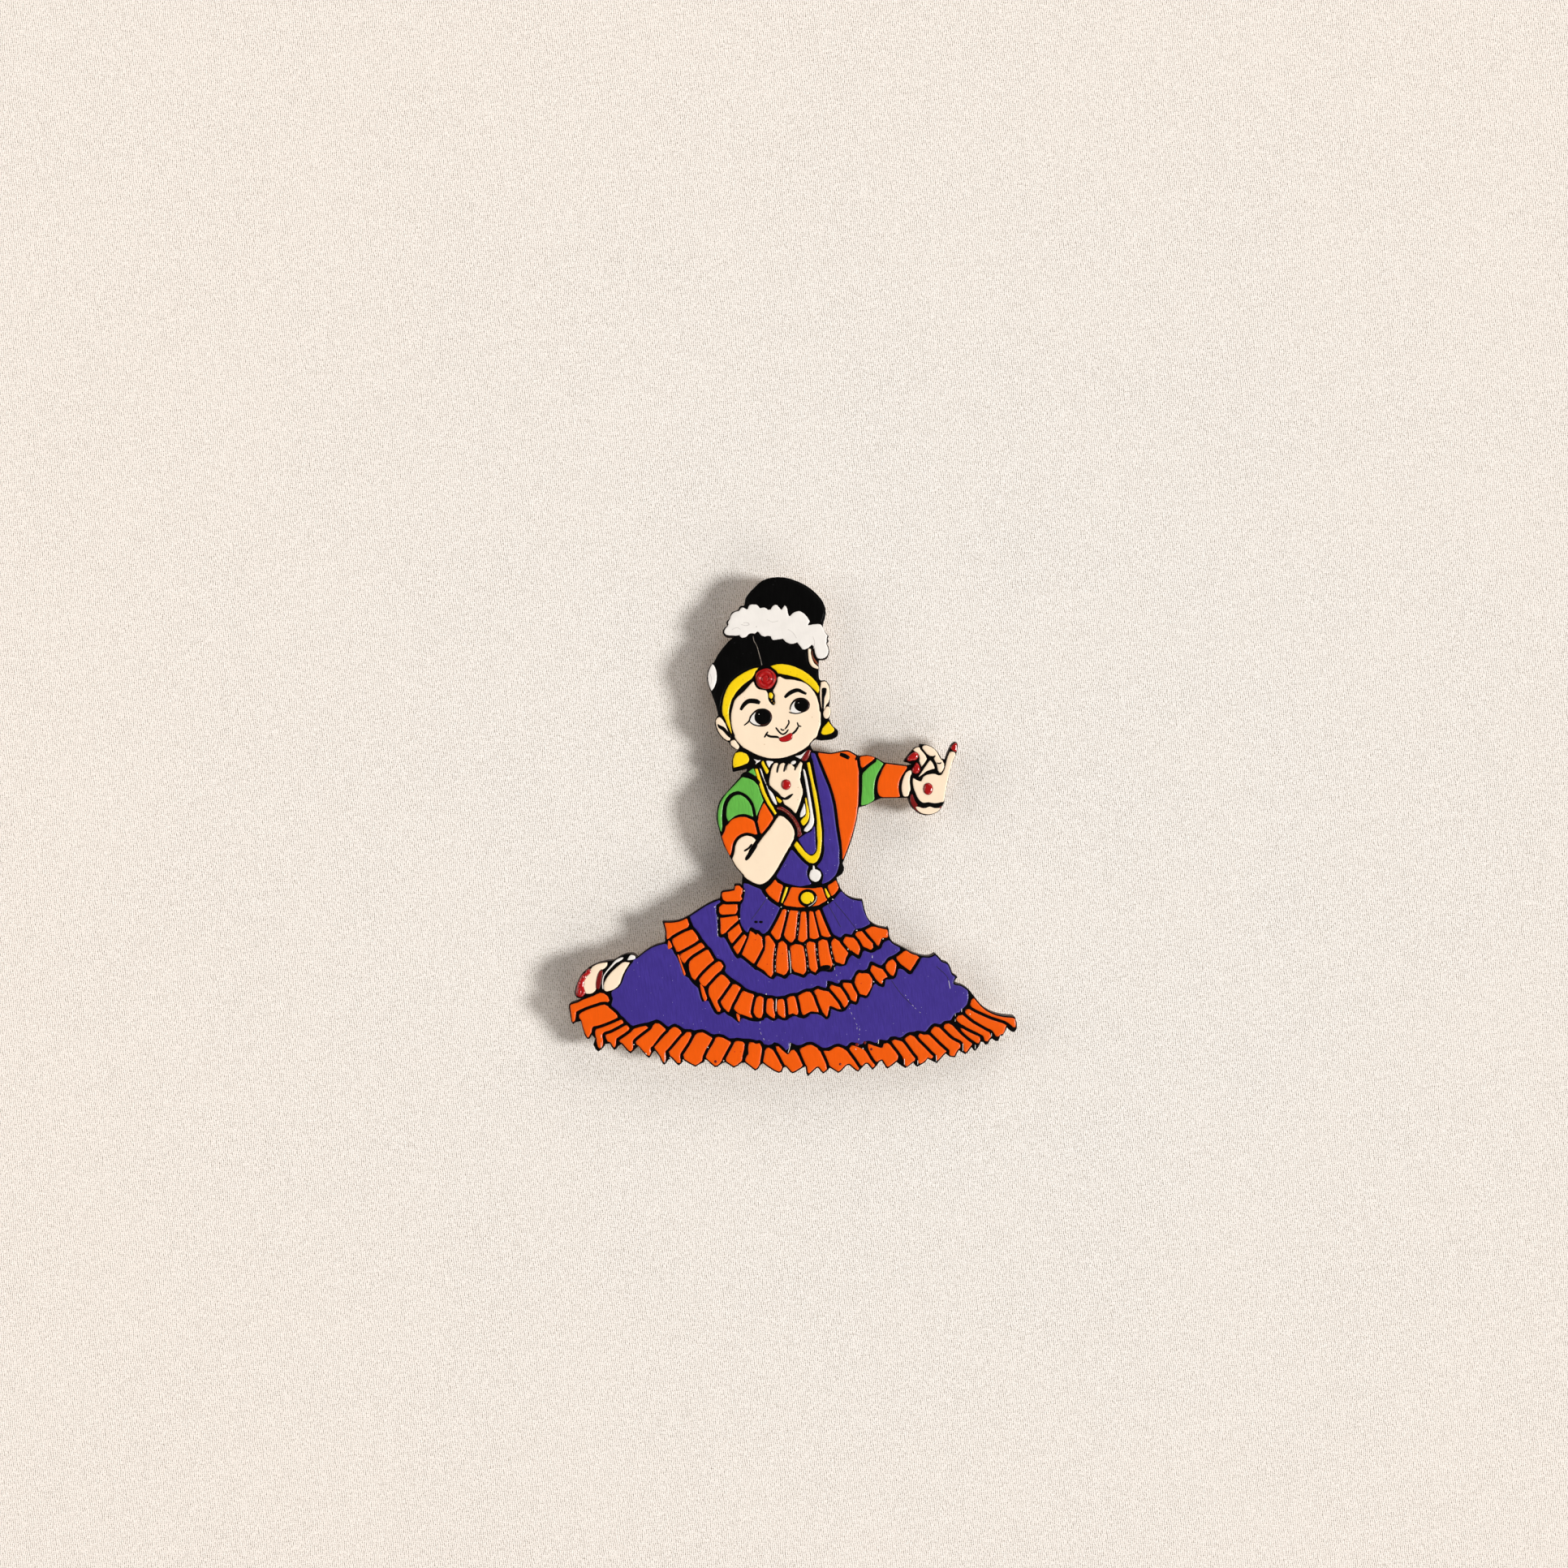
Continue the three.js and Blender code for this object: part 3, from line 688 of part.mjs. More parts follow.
// Pleats of the three ruffles, from left to right.
const UPPER_PLEATS = [
  line([-7.8, 14.5], [-7.05, 14.5], [-6.6, 14.1], [-6.67, 13.4], [-6.9, 13.0], [-6.65, 12.55],
    [-7.05, 12.15], [-9.1, 12.15], [-9.65, 12.6], [-9.65, 13.5], [-9.0, 13.65], [-7.9, 13.9]),
  line([-9.7, 11.65], [-7.44, 11.75], [-7.37, 10.85], [-7.7, 10.2], [-9.74, 10.1], [-10.25, 10.6],
    [-10.2, 11.25]),
  line([-10.05, 9.6], [-7.44, 10.0], [-7.24, 9.3], [-8.46, 8.2], [-9.3, 7.3], [-10.0, 7.15]),
  line([-7.2, 8.75], [-6.7, 7.5], [-8.27, 5.85], [-9.0, 7.3]),
  line([-6.45, 7.1], [-5.96, 6.75], [-6.4, 5.75], [-7.05, 4.45], [-7.44, 4.1], [-8.0, 5.05]),
  line([-5.5, 7.7], [-5.1, 7.35], [-4.6, 6.35], [-4.35, 7.2], [-3.7, 6.6], [-3.45, 5.2], [-4.15, 3.8],
    [-4.86, 2.65], [-6.75, 4.1], [-6.2, 5.4], [-5.75, 6.6]),
  line([-3.1, 6.9], [-2.6, 6.85], [-2.1, 5.87], [-1.75, 5.4], [-1.95, 4.45], [-2.15, 2.55], [-2.1, 0.9],
    [-2.2, 0.45], [-2.7, 0.75], [-3.4, 1.6], [-4.4, 2.35], [-3.77, 3.7], [-3.26, 4.7], [-3.15, 5.75]),
  line([-0.95, 5.65], [-0.56, 5.9], [-0.05, 5.35], [0.14, 3.8], [0.2, 1.75], [-0.3, 0.8], [-1.3, 1.3],
    [-1.3, 3.2], [-1.14, 4.7]),
  line([0.9, 5.1], [1.5, 5.35], [2.26, 5.35], [2.58, 5.1], [2.9, 3.4], [2.96, 1.35], [2.7, 0.95],
    [1.35, 1.3], [1.1, 2.55]),
  line([3.28, 5.75], [3.67, 5.95], [4.37, 5.6], [4.5, 4.1], [4.88, 1.75], [4.6, 1.15], [3.9, 1.5],
    [3.7, 3.2]),
  line([5.2, 6.0], [5.6, 6.25], [6.2, 6.0], [6.5, 4.85], [7.0, 3.3], [7.15, 2.4], [6.8, 1.85],
    [6.5, 2.15], [5.46, 2.2], [5.2, 3.8]),
  line([7.5, 6.4], [8.28, 5.7], [9.5, 4.25], [9.05, 2.5], [8.67, 2.45], [7.64, 3.05], [7.3, 4.45],
    [7.26, 5.75]),
  line([9.15, 6.75], [10.28, 6.6], [11.0, 6.0], [11.35, 5.2], [11.2, 4.0], [10.28, 4.8], [9.96, 4.7],
    [9.0, 5.9]),
  line([10.75, 7.1], [11.0, 7.5], [11.7, 7.55], [12.46, 6.7], [13.45, 5.7], [13.2, 4.7], [12.85, 4.85],
    [12.33, 5.2], [11.9, 5.4], [11.2, 6.4]),
  line([12.2, 7.8], [13.23, 8.15], [14.26, 7.85], [15.0, 7.75], [15.5, 7.85], [15.8, 7.3], [15.6, 6.7],
    [14.9, 6.8], [14.5, 6.5], [14.25, 5.45], [14.0, 5.55], [13.0, 6.75]),
];
const UPPER_RIBBON = band([-7.6, 14.0, 0.7], [-8.6, 12.6, 0.8], [-8.9, 11.0, 0.9], [-8.7, 9.0, 0.9],
  [-7.9, 6.9, 0.9], [-6.6, 5.6, 0.9], [-5.0, 4.7, 0.9], [-3.0, 3.9, 0.9], [-0.6, 3.4, 0.9],
  [2.0, 3.3, 0.9], [4.2, 3.5, 0.9], [6.0, 3.9, 0.9], [8.2, 4.6, 0.9], [10.2, 5.6, 0.9], [12.2, 6.5, 0.9],
  [14.2, 7.2, 0.7]);

const MIDDLE_PLEATS = [
  line([-18.6, 8.8], [-17.44, 8.85], [-16.15, 9.1], [-15.15, 9.5], [-14.9, 8.65], [-15.4, 8.15],
    [-16.6, 7.55], [-17.6, 7.1], [-18.2, 6.55], [-18.4, 7.6]),
  line([-17.3, 6.2], [-16.4, 6.85], [-15.4, 7.4], [-14.4, 7.6], [-13.95, 7.0], [-13.65, 6.3],
    [-14.2, 5.85], [-15.3, 5.25], [-16.2, 4.75], [-16.75, 4.5], [-17.0, 5.3]),
  line([-16.1, 3.9], [-15.5, 4.25], [-14.6, 4.7], [-13.6, 5.3], [-13.0, 5.65], [-12.6, 5.15],
    [-13.3, 4.75], [-14.4, 4.05], [-15.2, 3.25], [-15.6, 2.9], [-15.9, 3.2]),
  line([-14.7, 2.9], [-14.2, 3.35], [-13.2, 4.0], [-12.2, 4.6], [-11.95, 4.6], [-11.55, 3.9],
    [-11.05, 3.05], [-11.8, 2.5], [-12.7, 1.65], [-13.5, 0.85], [-13.95, 0.2], [-14.3, 0.6],
    [-14.65, 1.7]),
  line([-10.85, 2.65], [-10.3, 2.95], [-9.95, 2.8], [-9.55, 2.15], [-9.8, 1.85], [-10.3, 1.4],
    [-11.0, 0.7], [-11.8, -0.2], [-12.4, -0.75], [-12.8, -0.5], [-13.25, 0.1], [-12.6, 1.0],
    [-11.7, 1.9]),
  line([-9.95, 0.85], [-9.4, 0.35], [-8.7, -0.4], [-8.9, -0.8], [-9.5, -1.7], [-10.1, -2.5],
    [-10.7, -3.1], [-10.3, -3.8], [-10.05, -4.4], [-10.1, -4.85], [-10.5, -4.85], [-11.0, -4.0],
    [-11.4, -3.0], [-11.65, -1.9], [-11.65, -0.9], [-11.2, -0.4], [-10.5, 0.4]),
  line([-8.1, -0.75], [-7.6, -0.9], [-7.15, -1.2], [-7.5, -2.0], [-7.9, -2.9], [-8.3, -3.6],
    [-8.7, -4.2], [-8.75, -4.9], [-9.05, -4.8], [-9.4, -4.3], [-9.9, -3.7], [-10.0, -3.4],
    [-9.5, -2.6], [-8.8, -1.6]),
  line([-6.5, -1.8], [-5.8, -1.95], [-5.0, -2.15], [-4.85, -2.4], [-5.1, -3.2], [-5.3, -4.2],
    [-5.5, -4.9], [-5.4, -5.4], [-5.25, -5.7], [-5.6, -5.65], [-6.4, -5.25], [-7.2, -4.85],
    [-7.8, -4.3], [-7.7, -3.8], [-7.2, -2.9], [-6.8, -2.15]),
  line([-4.5, -2.65], [-4.0, -2.55], [-3.65, -2.8], [-3.65, -3.8], [-3.7, -4.9], [-3.75, -5.8],
    [-4.1, -5.8], [-4.5, -5.4], [-4.9, -4.9], [-4.9, -4.2], [-4.7, -3.3]),
  line([-2.6, -2.95], [-2.15, -2.85], [-2.05, -3.4], [-2.0, -4.4], [-1.75, -5.3], [-1.65, -5.85],
    [-2.0, -5.8], [-2.5, -5.45], [-2.8, -5.0], [-2.8, -4.0], [-2.7, -3.3]),
  line([-1.05, -3.05], [-0.6, -2.95], [-0.3, -3.2], [-0.1, -4.2], [-0.05, -5.1], [-0.1, -5.8],
    [-0.5, -5.75], [-0.9, -5.4], [-1.15, -4.9], [-1.2, -4.0]),
  line([0.3, -2.75], [0.7, -2.45], [1.2, -2.45], [1.4, -2.8], [1.6, -3.6], [1.8, -4.6], [1.9, -5.25],
    [1.6, -5.35], [1.1, -5.1], [0.5, -5.3], [0.4, -5.0], [0.35, -3.9]),
  line([2.0, -2.5], [2.6, -2.05], [3.2, -1.85], [3.8, -2.05], [4.1, -2.6], [4.5, -3.6], [4.9, -4.4],
    [5.15, -4.95], [4.6, -4.9], [3.9, -4.8], [3.3, -5.1], [2.8, -5.25], [2.5, -4.6], [2.3, -3.5]),
  line([4.5, -1.75], [5.0, -1.45], [5.7, -1.75], [6.5, -1.95], [7.0, -2.4], [7.5, -3.1], [8.1, -3.9],
    [8.55, -4.45], [8.0, -4.45], [7.3, -4.1], [6.75, -3.9], [6.65, -4.6], [6.45, -5.45],
    [6.3, -5.65], [6.0, -5.3], [5.6, -4.5], [5.2, -3.4], [4.9, -2.3]),
  line([7.0, -1.1], [7.1, -0.75], [7.7, -0.95], [8.3, -1.25], [8.8, -1.9], [9.3, -2.6], [9.7, -3.3],
    [9.5, -3.8], [9.05, -4.25], [8.9, -3.9], [8.7, -3.2], [8.3, -2.7], [7.6, -1.9]),
  line([8.8, -0.35], [9.5, -0.35], [10.0, -0.5], [10.4, -1.2], [10.9, -1.9], [11.05, -2.3],
    [10.95, -3.0], [10.85, -3.3], [10.5, -3.25], [10.1, -3.0], [9.9, -2.3], [9.5, -1.5], [9.0, -0.8]),
  line([10.7, 0.3], [10.9, 0.8], [11.3, 1.1], [12.2, 1.05], [12.7, 0.8], [13.1, 0.3], [13.35, -0.1],
    [13.3, -0.9], [12.9, -1.7], [12.45, -2.4], [11.9, -2.25], [11.4, -2.1], [11.1, -1.5],
    [10.8, -0.7]),
  line([13.2, 1.7], [13.4, 2.25], [14.0, 1.95], [14.7, 1.65], [15.1, 1.2], [15.75, 0.5], [15.45, 0.4],
    [15.0, 0.1], [14.9, -0.55], [14.5, -0.45], [14.1, 0.1], [13.7, 0.8]),
  line([15.4, 2.4], [15.8, 2.95], [16.4, 3.1], [16.8, 2.7], [17.05, 2.1], [16.9, 1.3], [16.6, 0.65],
    [16.2, 0.9], [15.7, 1.6]),
  line([17.1, 3.6], [17.7, 3.95], [18.3, 4.25], [18.6, 4.6], [19.4, 4.1], [20.2, 3.85], [20.6, 3.5],
    [20.1, 3.0], [19.85, 2.5], [19.45, 1.85], [19.2, 1.4], [18.9, 1.9], [18.2, 2.45], [17.4, 3.1]),
];
const MIDDLE_RIBBON = band([-16.9, 8.0, 0.8], [-15.3, 6.2, 0.8], [-14.2, 4.6, 0.8], [-13.0, 2.8, 0.8],
  [-11.6, 1.1, 0.8], [-10.2, -0.8, 0.8], [-8.7, -2.3, 0.8], [-6.6, -3.4, 0.8], [-4.2, -3.9, 0.8],
  [-1.9, -4.1, 0.8], [1.0, -4.0, 0.8], [3.4, -3.6, 0.8], [6.0, -2.9, 0.8], [8.3, -2.0, 0.8],
  [10.1, -1.6, 0.8], [12.0, -0.4, 0.8], [14.2, 0.9, 0.8], [16.2, 2.0, 0.8], [18.6, 3.2, 0.8]);

const HEM_PLEATS = [
  line([-33.05, -3.75], [-32.3, -3.55], [-31.3, -3.25], [-30.3, -2.9], [-29.3, -2.45], [-28.5, -2.15],
    [-28.05, -2.15], [-27.5, -2.75], [-27.15, -3.1], [-27.4, -3.3], [-28.6, -3.35], [-29.5, -3.6],
    [-31.2, -4.25], [-32.2, -4.5], [-32.5, -4.7], [-32.55, -5.3], [-32.7, -6.45], [-32.9, -6.45],
    [-33.0, -5.7], [-33.15, -4.7]),
  line([-31.6, -5.4], [-31.3, -5.0], [-30.8, -4.65], [-30.0, -4.35], [-29.1, -4.1], [-28.4, -3.8],
    [-27.9, -3.7], [-27.3, -4.3], [-26.8, -4.65], [-26.3, -5.15], [-26.05, -5.7], [-26.5, -5.95],
    [-27.3, -6.25], [-28.2, -6.65], [-29.0, -7.0], [-29.8, -7.05], [-30.1, -7.5], [-30.2, -8.2],
    [-30.4, -8.85], [-30.6, -8.75], [-30.9, -8.2], [-31.3, -7.1], [-31.5, -6.2]),
  line([-29.2, -7.5], [-28.2, -7.3], [-27.0, -6.9], [-26.0, -6.4], [-25.3, -6.2], [-25.15, -6.5],
    [-25.8, -6.9], [-26.8, -7.4], [-27.9, -7.85], [-28.3, -8.2], [-28.4, -8.8], [-28.35, -9.7],
    [-28.35, -10.4], [-28.6, -10.4], [-28.8, -9.8], [-29.0, -8.9]),
  line([-27.7, -8.45], [-26.9, -8.3], [-26.0, -7.8], [-25.1, -7.3], [-24.55, -7.05], [-24.15, -7.45],
    [-24.25, -7.7], [-24.9, -8.1], [-25.8, -8.55], [-26.3, -8.8], [-26.35, -9.5], [-26.45, -10.25],
    [-26.7, -10.0], [-27.2, -9.3]),
  line([-25.45, -9.35], [-24.8, -8.8], [-24.0, -8.1], [-23.2, -7.55], [-22.4, -7.25], [-21.7, -7.15],
    [-21.2, -7.3], [-22.3, -8.1], [-23.2, -8.8], [-23.6, -9.3], [-23.7, -10.1], [-23.85, -11.0],
    [-24.05, -10.9], [-24.7, -10.2]),
  line([-23.05, -9.45], [-22.5, -8.95], [-21.6, -8.25], [-20.7, -7.55], [-20.0, -6.85], [-19.5, -6.75],
    [-19.0, -7.15], [-18.55, -7.7], [-18.9, -8.0], [-19.5, -8.8], [-20.1, -9.65], [-20.5, -10.15],
    [-20.9, -10.4], [-20.95, -10.9], [-21.1, -11.5], [-21.4, -11.5], [-22.0, -10.85], [-22.7, -10.05]),
  line([-20.3, -10.3], [-19.7, -9.65], [-19.0, -8.85], [-18.1, -8.05], [-17.4, -7.35], [-17.0, -7.2],
    [-16.6, -7.35], [-16.3, -7.75], [-16.05, -8.15], [-16.6, -8.75], [-17.3, -9.55], [-18.1, -10.55],
    [-18.5, -10.9], [-18.65, -11.5], [-18.75, -12.6], [-18.95, -12.5], [-19.3, -11.75],
    [-19.8, -10.95]),
  line([-18.05, -11.0], [-17.5, -10.45], [-16.7, -9.45], [-16.0, -8.65], [-15.2, -8.1], [-14.7, -8.1],
    [-14.8, -8.6], [-15.2, -9.5], [-15.7, -10.4], [-16.2, -11.2], [-16.4, -11.9], [-16.45, -12.5],
    [-16.6, -12.5], [-17.1, -11.95], [-17.7, -11.35]),
  line([-15.75, -11.5], [-15.2, -10.8], [-14.7, -10.1], [-14.2, -9.25], [-13.8, -8.65], [-13.4, -8.25],
    [-12.8, -8.05], [-12.2, -8.35], [-11.5, -8.75], [-11.4, -8.95], [-11.8, -9.8], [-12.3, -10.6],
    [-12.8, -11.6], [-13.1, -12.2], [-13.4, -12.85], [-13.9, -13.1], [-14.5, -12.85], [-15.2, -12.3]),
  line([-12.25, -11.7], [-11.9, -10.9], [-11.4, -10.1], [-10.9, -9.4], [-10.75, -8.9], [-10.3, -8.75],
    [-9.6, -8.85], [-8.9, -9.2], [-8.5, -9.45], [-8.6, -9.8], [-9.1, -10.7], [-9.6, -11.6],
    [-10.1, -12.3], [-10.6, -13.0], [-11.0, -13.1], [-11.5, -12.65], [-12.1, -12.15]),
  line([-9.1, -12.0], [-8.7, -11.2], [-8.2, -10.3], [-7.8, -9.65], [-7.3, -9.45], [-6.7, -9.45],
    [-6.55, -9.7], [-6.65, -10.6], [-6.9, -11.6], [-7.0, -12.5], [-7.4, -13.0], [-8.0, -13.25],
    [-8.5, -12.9], [-9.0, -12.4]),
  line([-6.05, -12.4], [-5.8, -11.8], [-5.5, -11.4], [-5.55, -10.5], [-5.45, -9.65], [-5.0, -9.65],
    [-4.6, -10.0], [-4.2, -9.8], [-4.0, -9.65], [-3.9, -10.2], [-3.95, -11.4], [-4.1, -12.6],
    [-4.15, -13.2], [-4.6, -13.7], [-5.0, -13.4], [-5.8, -12.8]),
  line([-3.35, -12.5], [-3.2, -11.8], [-3.0, -11.1], [-2.9, -10.35], [-2.6, -10.35], [-2.4, -10.55],
    [-1.9, -11.2], [-1.3, -12.1], [-0.8, -13.0], [-0.65, -13.6], [-0.85, -13.95], [-1.3, -13.95],
    [-2.1, -13.45], [-3.0, -12.95]),
  line([-1.5, -10.15], [-1.1, -10.15], [-0.5, -10.75], [0.1, -11.25], [0.4, -11.7], [0.65, -11.25],
    [0.9, -10.95], [1.2, -10.95], [1.5, -11.3], [2.0, -12.2], [2.45, -13.1], [2.35, -13.45],
    [1.7, -13.75], [1.1, -14.1], [0.7, -13.8], [0.1, -13.15], [-0.4, -12.4], [-1.0, -11.1]),
  line([2.35, -10.6], [2.7, -10.35], [3.3, -10.0], [3.8, -9.95], [4.3, -10.15], [4.85, -10.45],
    [4.9, -10.8], [5.2, -11.2], [5.6, -12.1], [6.0, -12.9], [6.1, -13.6], [5.8, -14.05], [5.4, -13.65],
    [5.0, -13.2], [4.6, -13.3], [4.0, -13.9], [3.6, -14.3], [3.45, -13.7], [3.2, -12.9], [2.8, -11.8]),
  line([6.1, -11.05], [6.6, -11.15], [7.1, -10.95], [7.7, -10.45], [8.2, -10.35], [8.8, -10.55],
    [9.2, -11.0], [9.8, -11.6], [10.4, -12.3], [10.9, -13.0], [11.25, -13.5], [11.15, -13.8],
    [10.8, -13.65], [10.2, -13.05], [9.7, -12.8], [9.2, -13.1], [8.6, -13.7], [8.1, -14.0],
    [7.6, -13.75], [7.0, -13.3], [6.8, -12.6], [6.4, -11.6]),
  line([10.0, -10.5], [10.2, -10.1], [10.7, -10.25], [11.3, -10.6], [11.9, -10.85], [12.2, -11.2],
    [12.7, -12.0], [13.3, -12.7], [13.7, -13.15], [13.4, -13.5], [13.0, -13.0], [12.6, -12.5],
    [12.2, -12.7], [11.8, -13.2], [11.55, -13.05], [11.1, -12.3], [10.5, -11.3]),
  line([12.85, -9.95], [13.3, -10.15], [14.0, -10.45], [14.6, -10.65], [15.1, -10.55], [15.3, -9.95],
    [15.6, -9.85], [16.1, -10.25], [16.8, -11.0], [17.15, -11.6], [17.0, -12.2], [16.3, -12.9],
    [15.65, -13.3], [15.3, -12.7], [14.9, -12.2], [14.5, -12.2], [14.1, -12.5], [13.8, -12.2],
    [13.4, -11.4], [13.0, -10.6]),
  line([16.55, -9.4], [16.9, -9.15], [17.3, -9.25], [18.0, -9.65], [18.4, -10.1], [18.9, -10.8],
    [19.4, -11.5], [19.85, -12.0], [19.75, -12.4], [19.2, -12.9], [18.7, -13.3], [18.5, -13.0],
    [18.4, -12.2], [18.2, -11.6], [17.7, -11.1], [17.0, -10.2]),
  line([18.45, -9.1], [18.8, -8.8], [19.2, -8.45], [19.6, -8.8], [20.2, -9.4], [20.9, -10.0],
    [21.6, -10.7], [22.2, -11.4], [22.7, -11.75], [22.4, -11.9], [21.9, -11.85], [21.6, -12.3],
    [21.1, -12.7], [20.7, -12.9], [20.6, -12.4], [20.4, -11.7], [19.9, -11.1], [19.3, -10.3],
    [18.9, -9.7]),
  line([20.55, -8.5], [20.65, -8.15], [21.2, -8.35], [21.8, -8.45], [22.3, -8.75], [23.0, -9.35],
    [23.8, -10.05], [24.4, -10.6], [24.8, -10.9], [24.4, -11.3], [23.8, -12.0], [23.4, -12.4],
    [23.3, -11.9], [23.1, -11.3], [22.7, -10.9], [22.1, -10.3], [21.4, -9.6], [20.9, -9.1]),
  line([22.55, -8.0], [22.8, -7.55], [23.0, -7.15], [23.5, -7.4], [23.9, -7.6], [24.5, -8.15],
    [25.3, -8.9], [26.1, -9.35], [26.75, -9.7], [26.85, -10.1], [26.5, -10.6], [26.25, -11.1],
    [26.0, -11.65], [25.5, -11.65], [25.25, -11.2], [25.2, -10.75], [24.6, -10.2], [23.9, -9.55],
    [23.1, -8.65]),
  line([24.45, -7.3], [24.7, -6.85], [25.1, -6.75], [25.6, -7.2], [26.2, -7.85], [27.0, -8.55],
    [27.8, -9.15], [28.4, -9.55], [28.6, -9.7], [28.45, -10.2], [28.1, -10.7], [27.75, -11.1],
    [27.65, -10.8], [27.5, -10.1], [27.3, -9.5], [26.7, -9.15], [26.0, -8.85], [25.2, -8.1]),
  line([27.1, -7.5], [27.6, -7.8], [28.6, -8.15], [29.4, -8.45], [29.95, -8.7], [29.85, -9.1],
    [29.65, -9.5], [29.2, -9.35], [28.6, -9.05], [27.8, -8.3]),
  line([26.5, -6.0], [26.6, -5.45], [27.2, -5.45], [27.9, -5.95], [28.8, -6.55], [29.8, -7.15],
    [30.7, -7.65], [31.35, -8.0], [31.4, -8.4], [31.35, -8.9], [31.1, -9.2], [30.8, -9.1],
    [30.5, -8.6], [30.0, -8.35], [29.1, -7.85], [28.0, -7.15], [27.2, -6.6]),
  line([27.85, -5.05], [27.85, -4.6], [28.3, -4.65], [29.0, -5.0], [29.7, -5.25], [30.6, -5.65],
    [31.5, -6.05], [32.4, -6.35], [33.4, -6.65], [33.95, -6.95], [33.9, -7.3], [33.75, -7.8],
    [33.5, -8.3], [33.2, -8.2], [32.9, -8.6], [32.6, -8.5], [32.3, -8.0], [31.8, -7.65],
    [31.0, -7.35], [30.1, -6.85], [29.1, -6.25], [28.3, -5.55]),
  line([28.65, -3.8], [28.8, -3.25], [29.0, -2.75], [29.5, -3.35], [30.1, -4.0], [30.8, -4.6],
    [31.5, -5.0], [32.3, -5.35], [33.2, -5.6], [34.2, -5.75], [35.0, -5.8], [35.35, -5.95],
    [35.45, -6.5], [35.45, -7.15], [35.3, -7.15], [35.0, -6.8], [34.5, -6.6], [33.8, -6.2],
    [33.0, -5.95], [31.8, -5.55], [30.6, -5.05], [29.6, -4.55], [29.0, -4.15]),
];
const HEM_RIBBON = band([-28.6, -2.8, 0.8], [-28.3, -5.2, 0.8], [-27.0, -6.8, 0.8], [-25.6, -7.9, 0.8],
  [-23.6, -8.3, 0.8], [-21.2, -9.0, 0.8], [-18.6, -9.4, 0.8], [-16.2, -10.0, 0.8], [-13.2, -10.4, 0.8],
  [-10.4, -11.0, 0.8], [-7.7, -11.2, 0.8], [-4.8, -11.4, 0.8], [-2.0, -12.1, 0.8], [1.0, -12.4, 0.8],
  [4.4, -12.0, 0.8], [8.2, -11.9, 0.8], [12.0, -11.7, 0.8], [15.2, -11.4, 0.8], [18.4, -11.1, 0.8],
  [20.9, -10.8, 0.8], [23.2, -10.2, 0.8], [25.4, -9.5, 0.8], [27.0, -8.95, 0.8], [28.6, -8.6, 0.8],
  [29.4, -7.5, 0.8], [30.2, -6.3, 0.8], [30.6, -4.8, 0.5]);

// ---------------------------------------------------------------- foot
const FOOT = [
  ...curve([-27.4, 2.8], [-28.4, 2.7], [-29.3, 2.4], [-29.8, 2.1]),
  ...line([-29.85, 1.4], [-30.2, 0.6], [-30.6, 0.15], [-30.95, -0.1], [-30.65, -0.45]),
  ...line([-30.55, -0.75], [-30.95, -0.95], [-30.85, -1.5]),
  ...curve([-30.5, -1.75], [-30.1, -1.85], [-29.7, -1.7], [-29.45, -0.8], [-29.4, 0.3], [-29.15, 1.2],
    [-28.5, 1.95], [-27.7, 2.45]),
];

const HEEL = [
  ...curve([-27.8, -1.3], [-27.65, -0.4], [-26.9, 0.8], [-25.7, 1.95], [-24.8, 2.65], [-24.0, 2.8]),
  ...curve([-24.05, 2.6], [-24.6, 1.75], [-25.15, 0.6], [-25.5, -0.45], [-26.2, -1.25], [-27.2, -1.65],
    [-27.75, -1.5]),
];

const TOE_NAILS = [
  ...curve([-30.1, 1.85], [-30.0, 1.4], [-30.35, 0.95], [-30.8, 0.75]),
  ...curve([-30.75, 0.5], [-30.95, 0.2], [-31.15, -0.2]),
  ...curve([-31.15, -0.5], [-31.25, -0.95], [-31.05, -1.4], [-30.95, -2.0], [-31.2, -2.5], [-31.8, -2.6],
    [-32.35, -2.2], [-32.35, -1.4], [-32.15, -0.8], [-32.05, -0.2]),
  ...curve([-31.9, -0.1], [-31.7, 0.45], [-31.2, 1.05]),
  ...curve([-31.0, 1.1], [-30.7, 1.6], [-30.35, 1.85]),
];

// ---------------------------------------------------------------- materials and nodes
const GLOSS_PAINT = { roughness: 0.3, metalness: 0 };
const finish = (color, looks = GLOSS_PAINT) => ({ color, ...looks });
const BLACK = finish(0x0c0c0c);
const ORANGE = finish(0xf56400);
const VIOLET = finish(0x43318f);
const GREEN = finish(0x6abe4e);
const SKIN = finish(0xfbe3c8);
const YELLOW = finish(0xfcdf14);
const WHITE = finish(0xf3efec);
const RED = finish(0xc01418);
const DARK_RED = finish(0x8c1214);
const BOARD = finish(0x9a7a52, { roughness: 0.85, metalness: 0 });
const FERRITE = finish(0x3a3a3c, { roughness: 0.7, metalness: 0.1 });
const GLUE = finish(0xd8d2c0, { roughness: 0.4, metalness: 0 });

function node(name, geometry, looks) {
  const mesh = new THREE.Mesh(geometry, new THREE.MeshStandardMaterial(looks));
  mesh.name = name;
  return mesh;
}

function group(...nodes) {
  const holder = new THREE.Group();
  holder.add(...nodes);
  return holder;
}

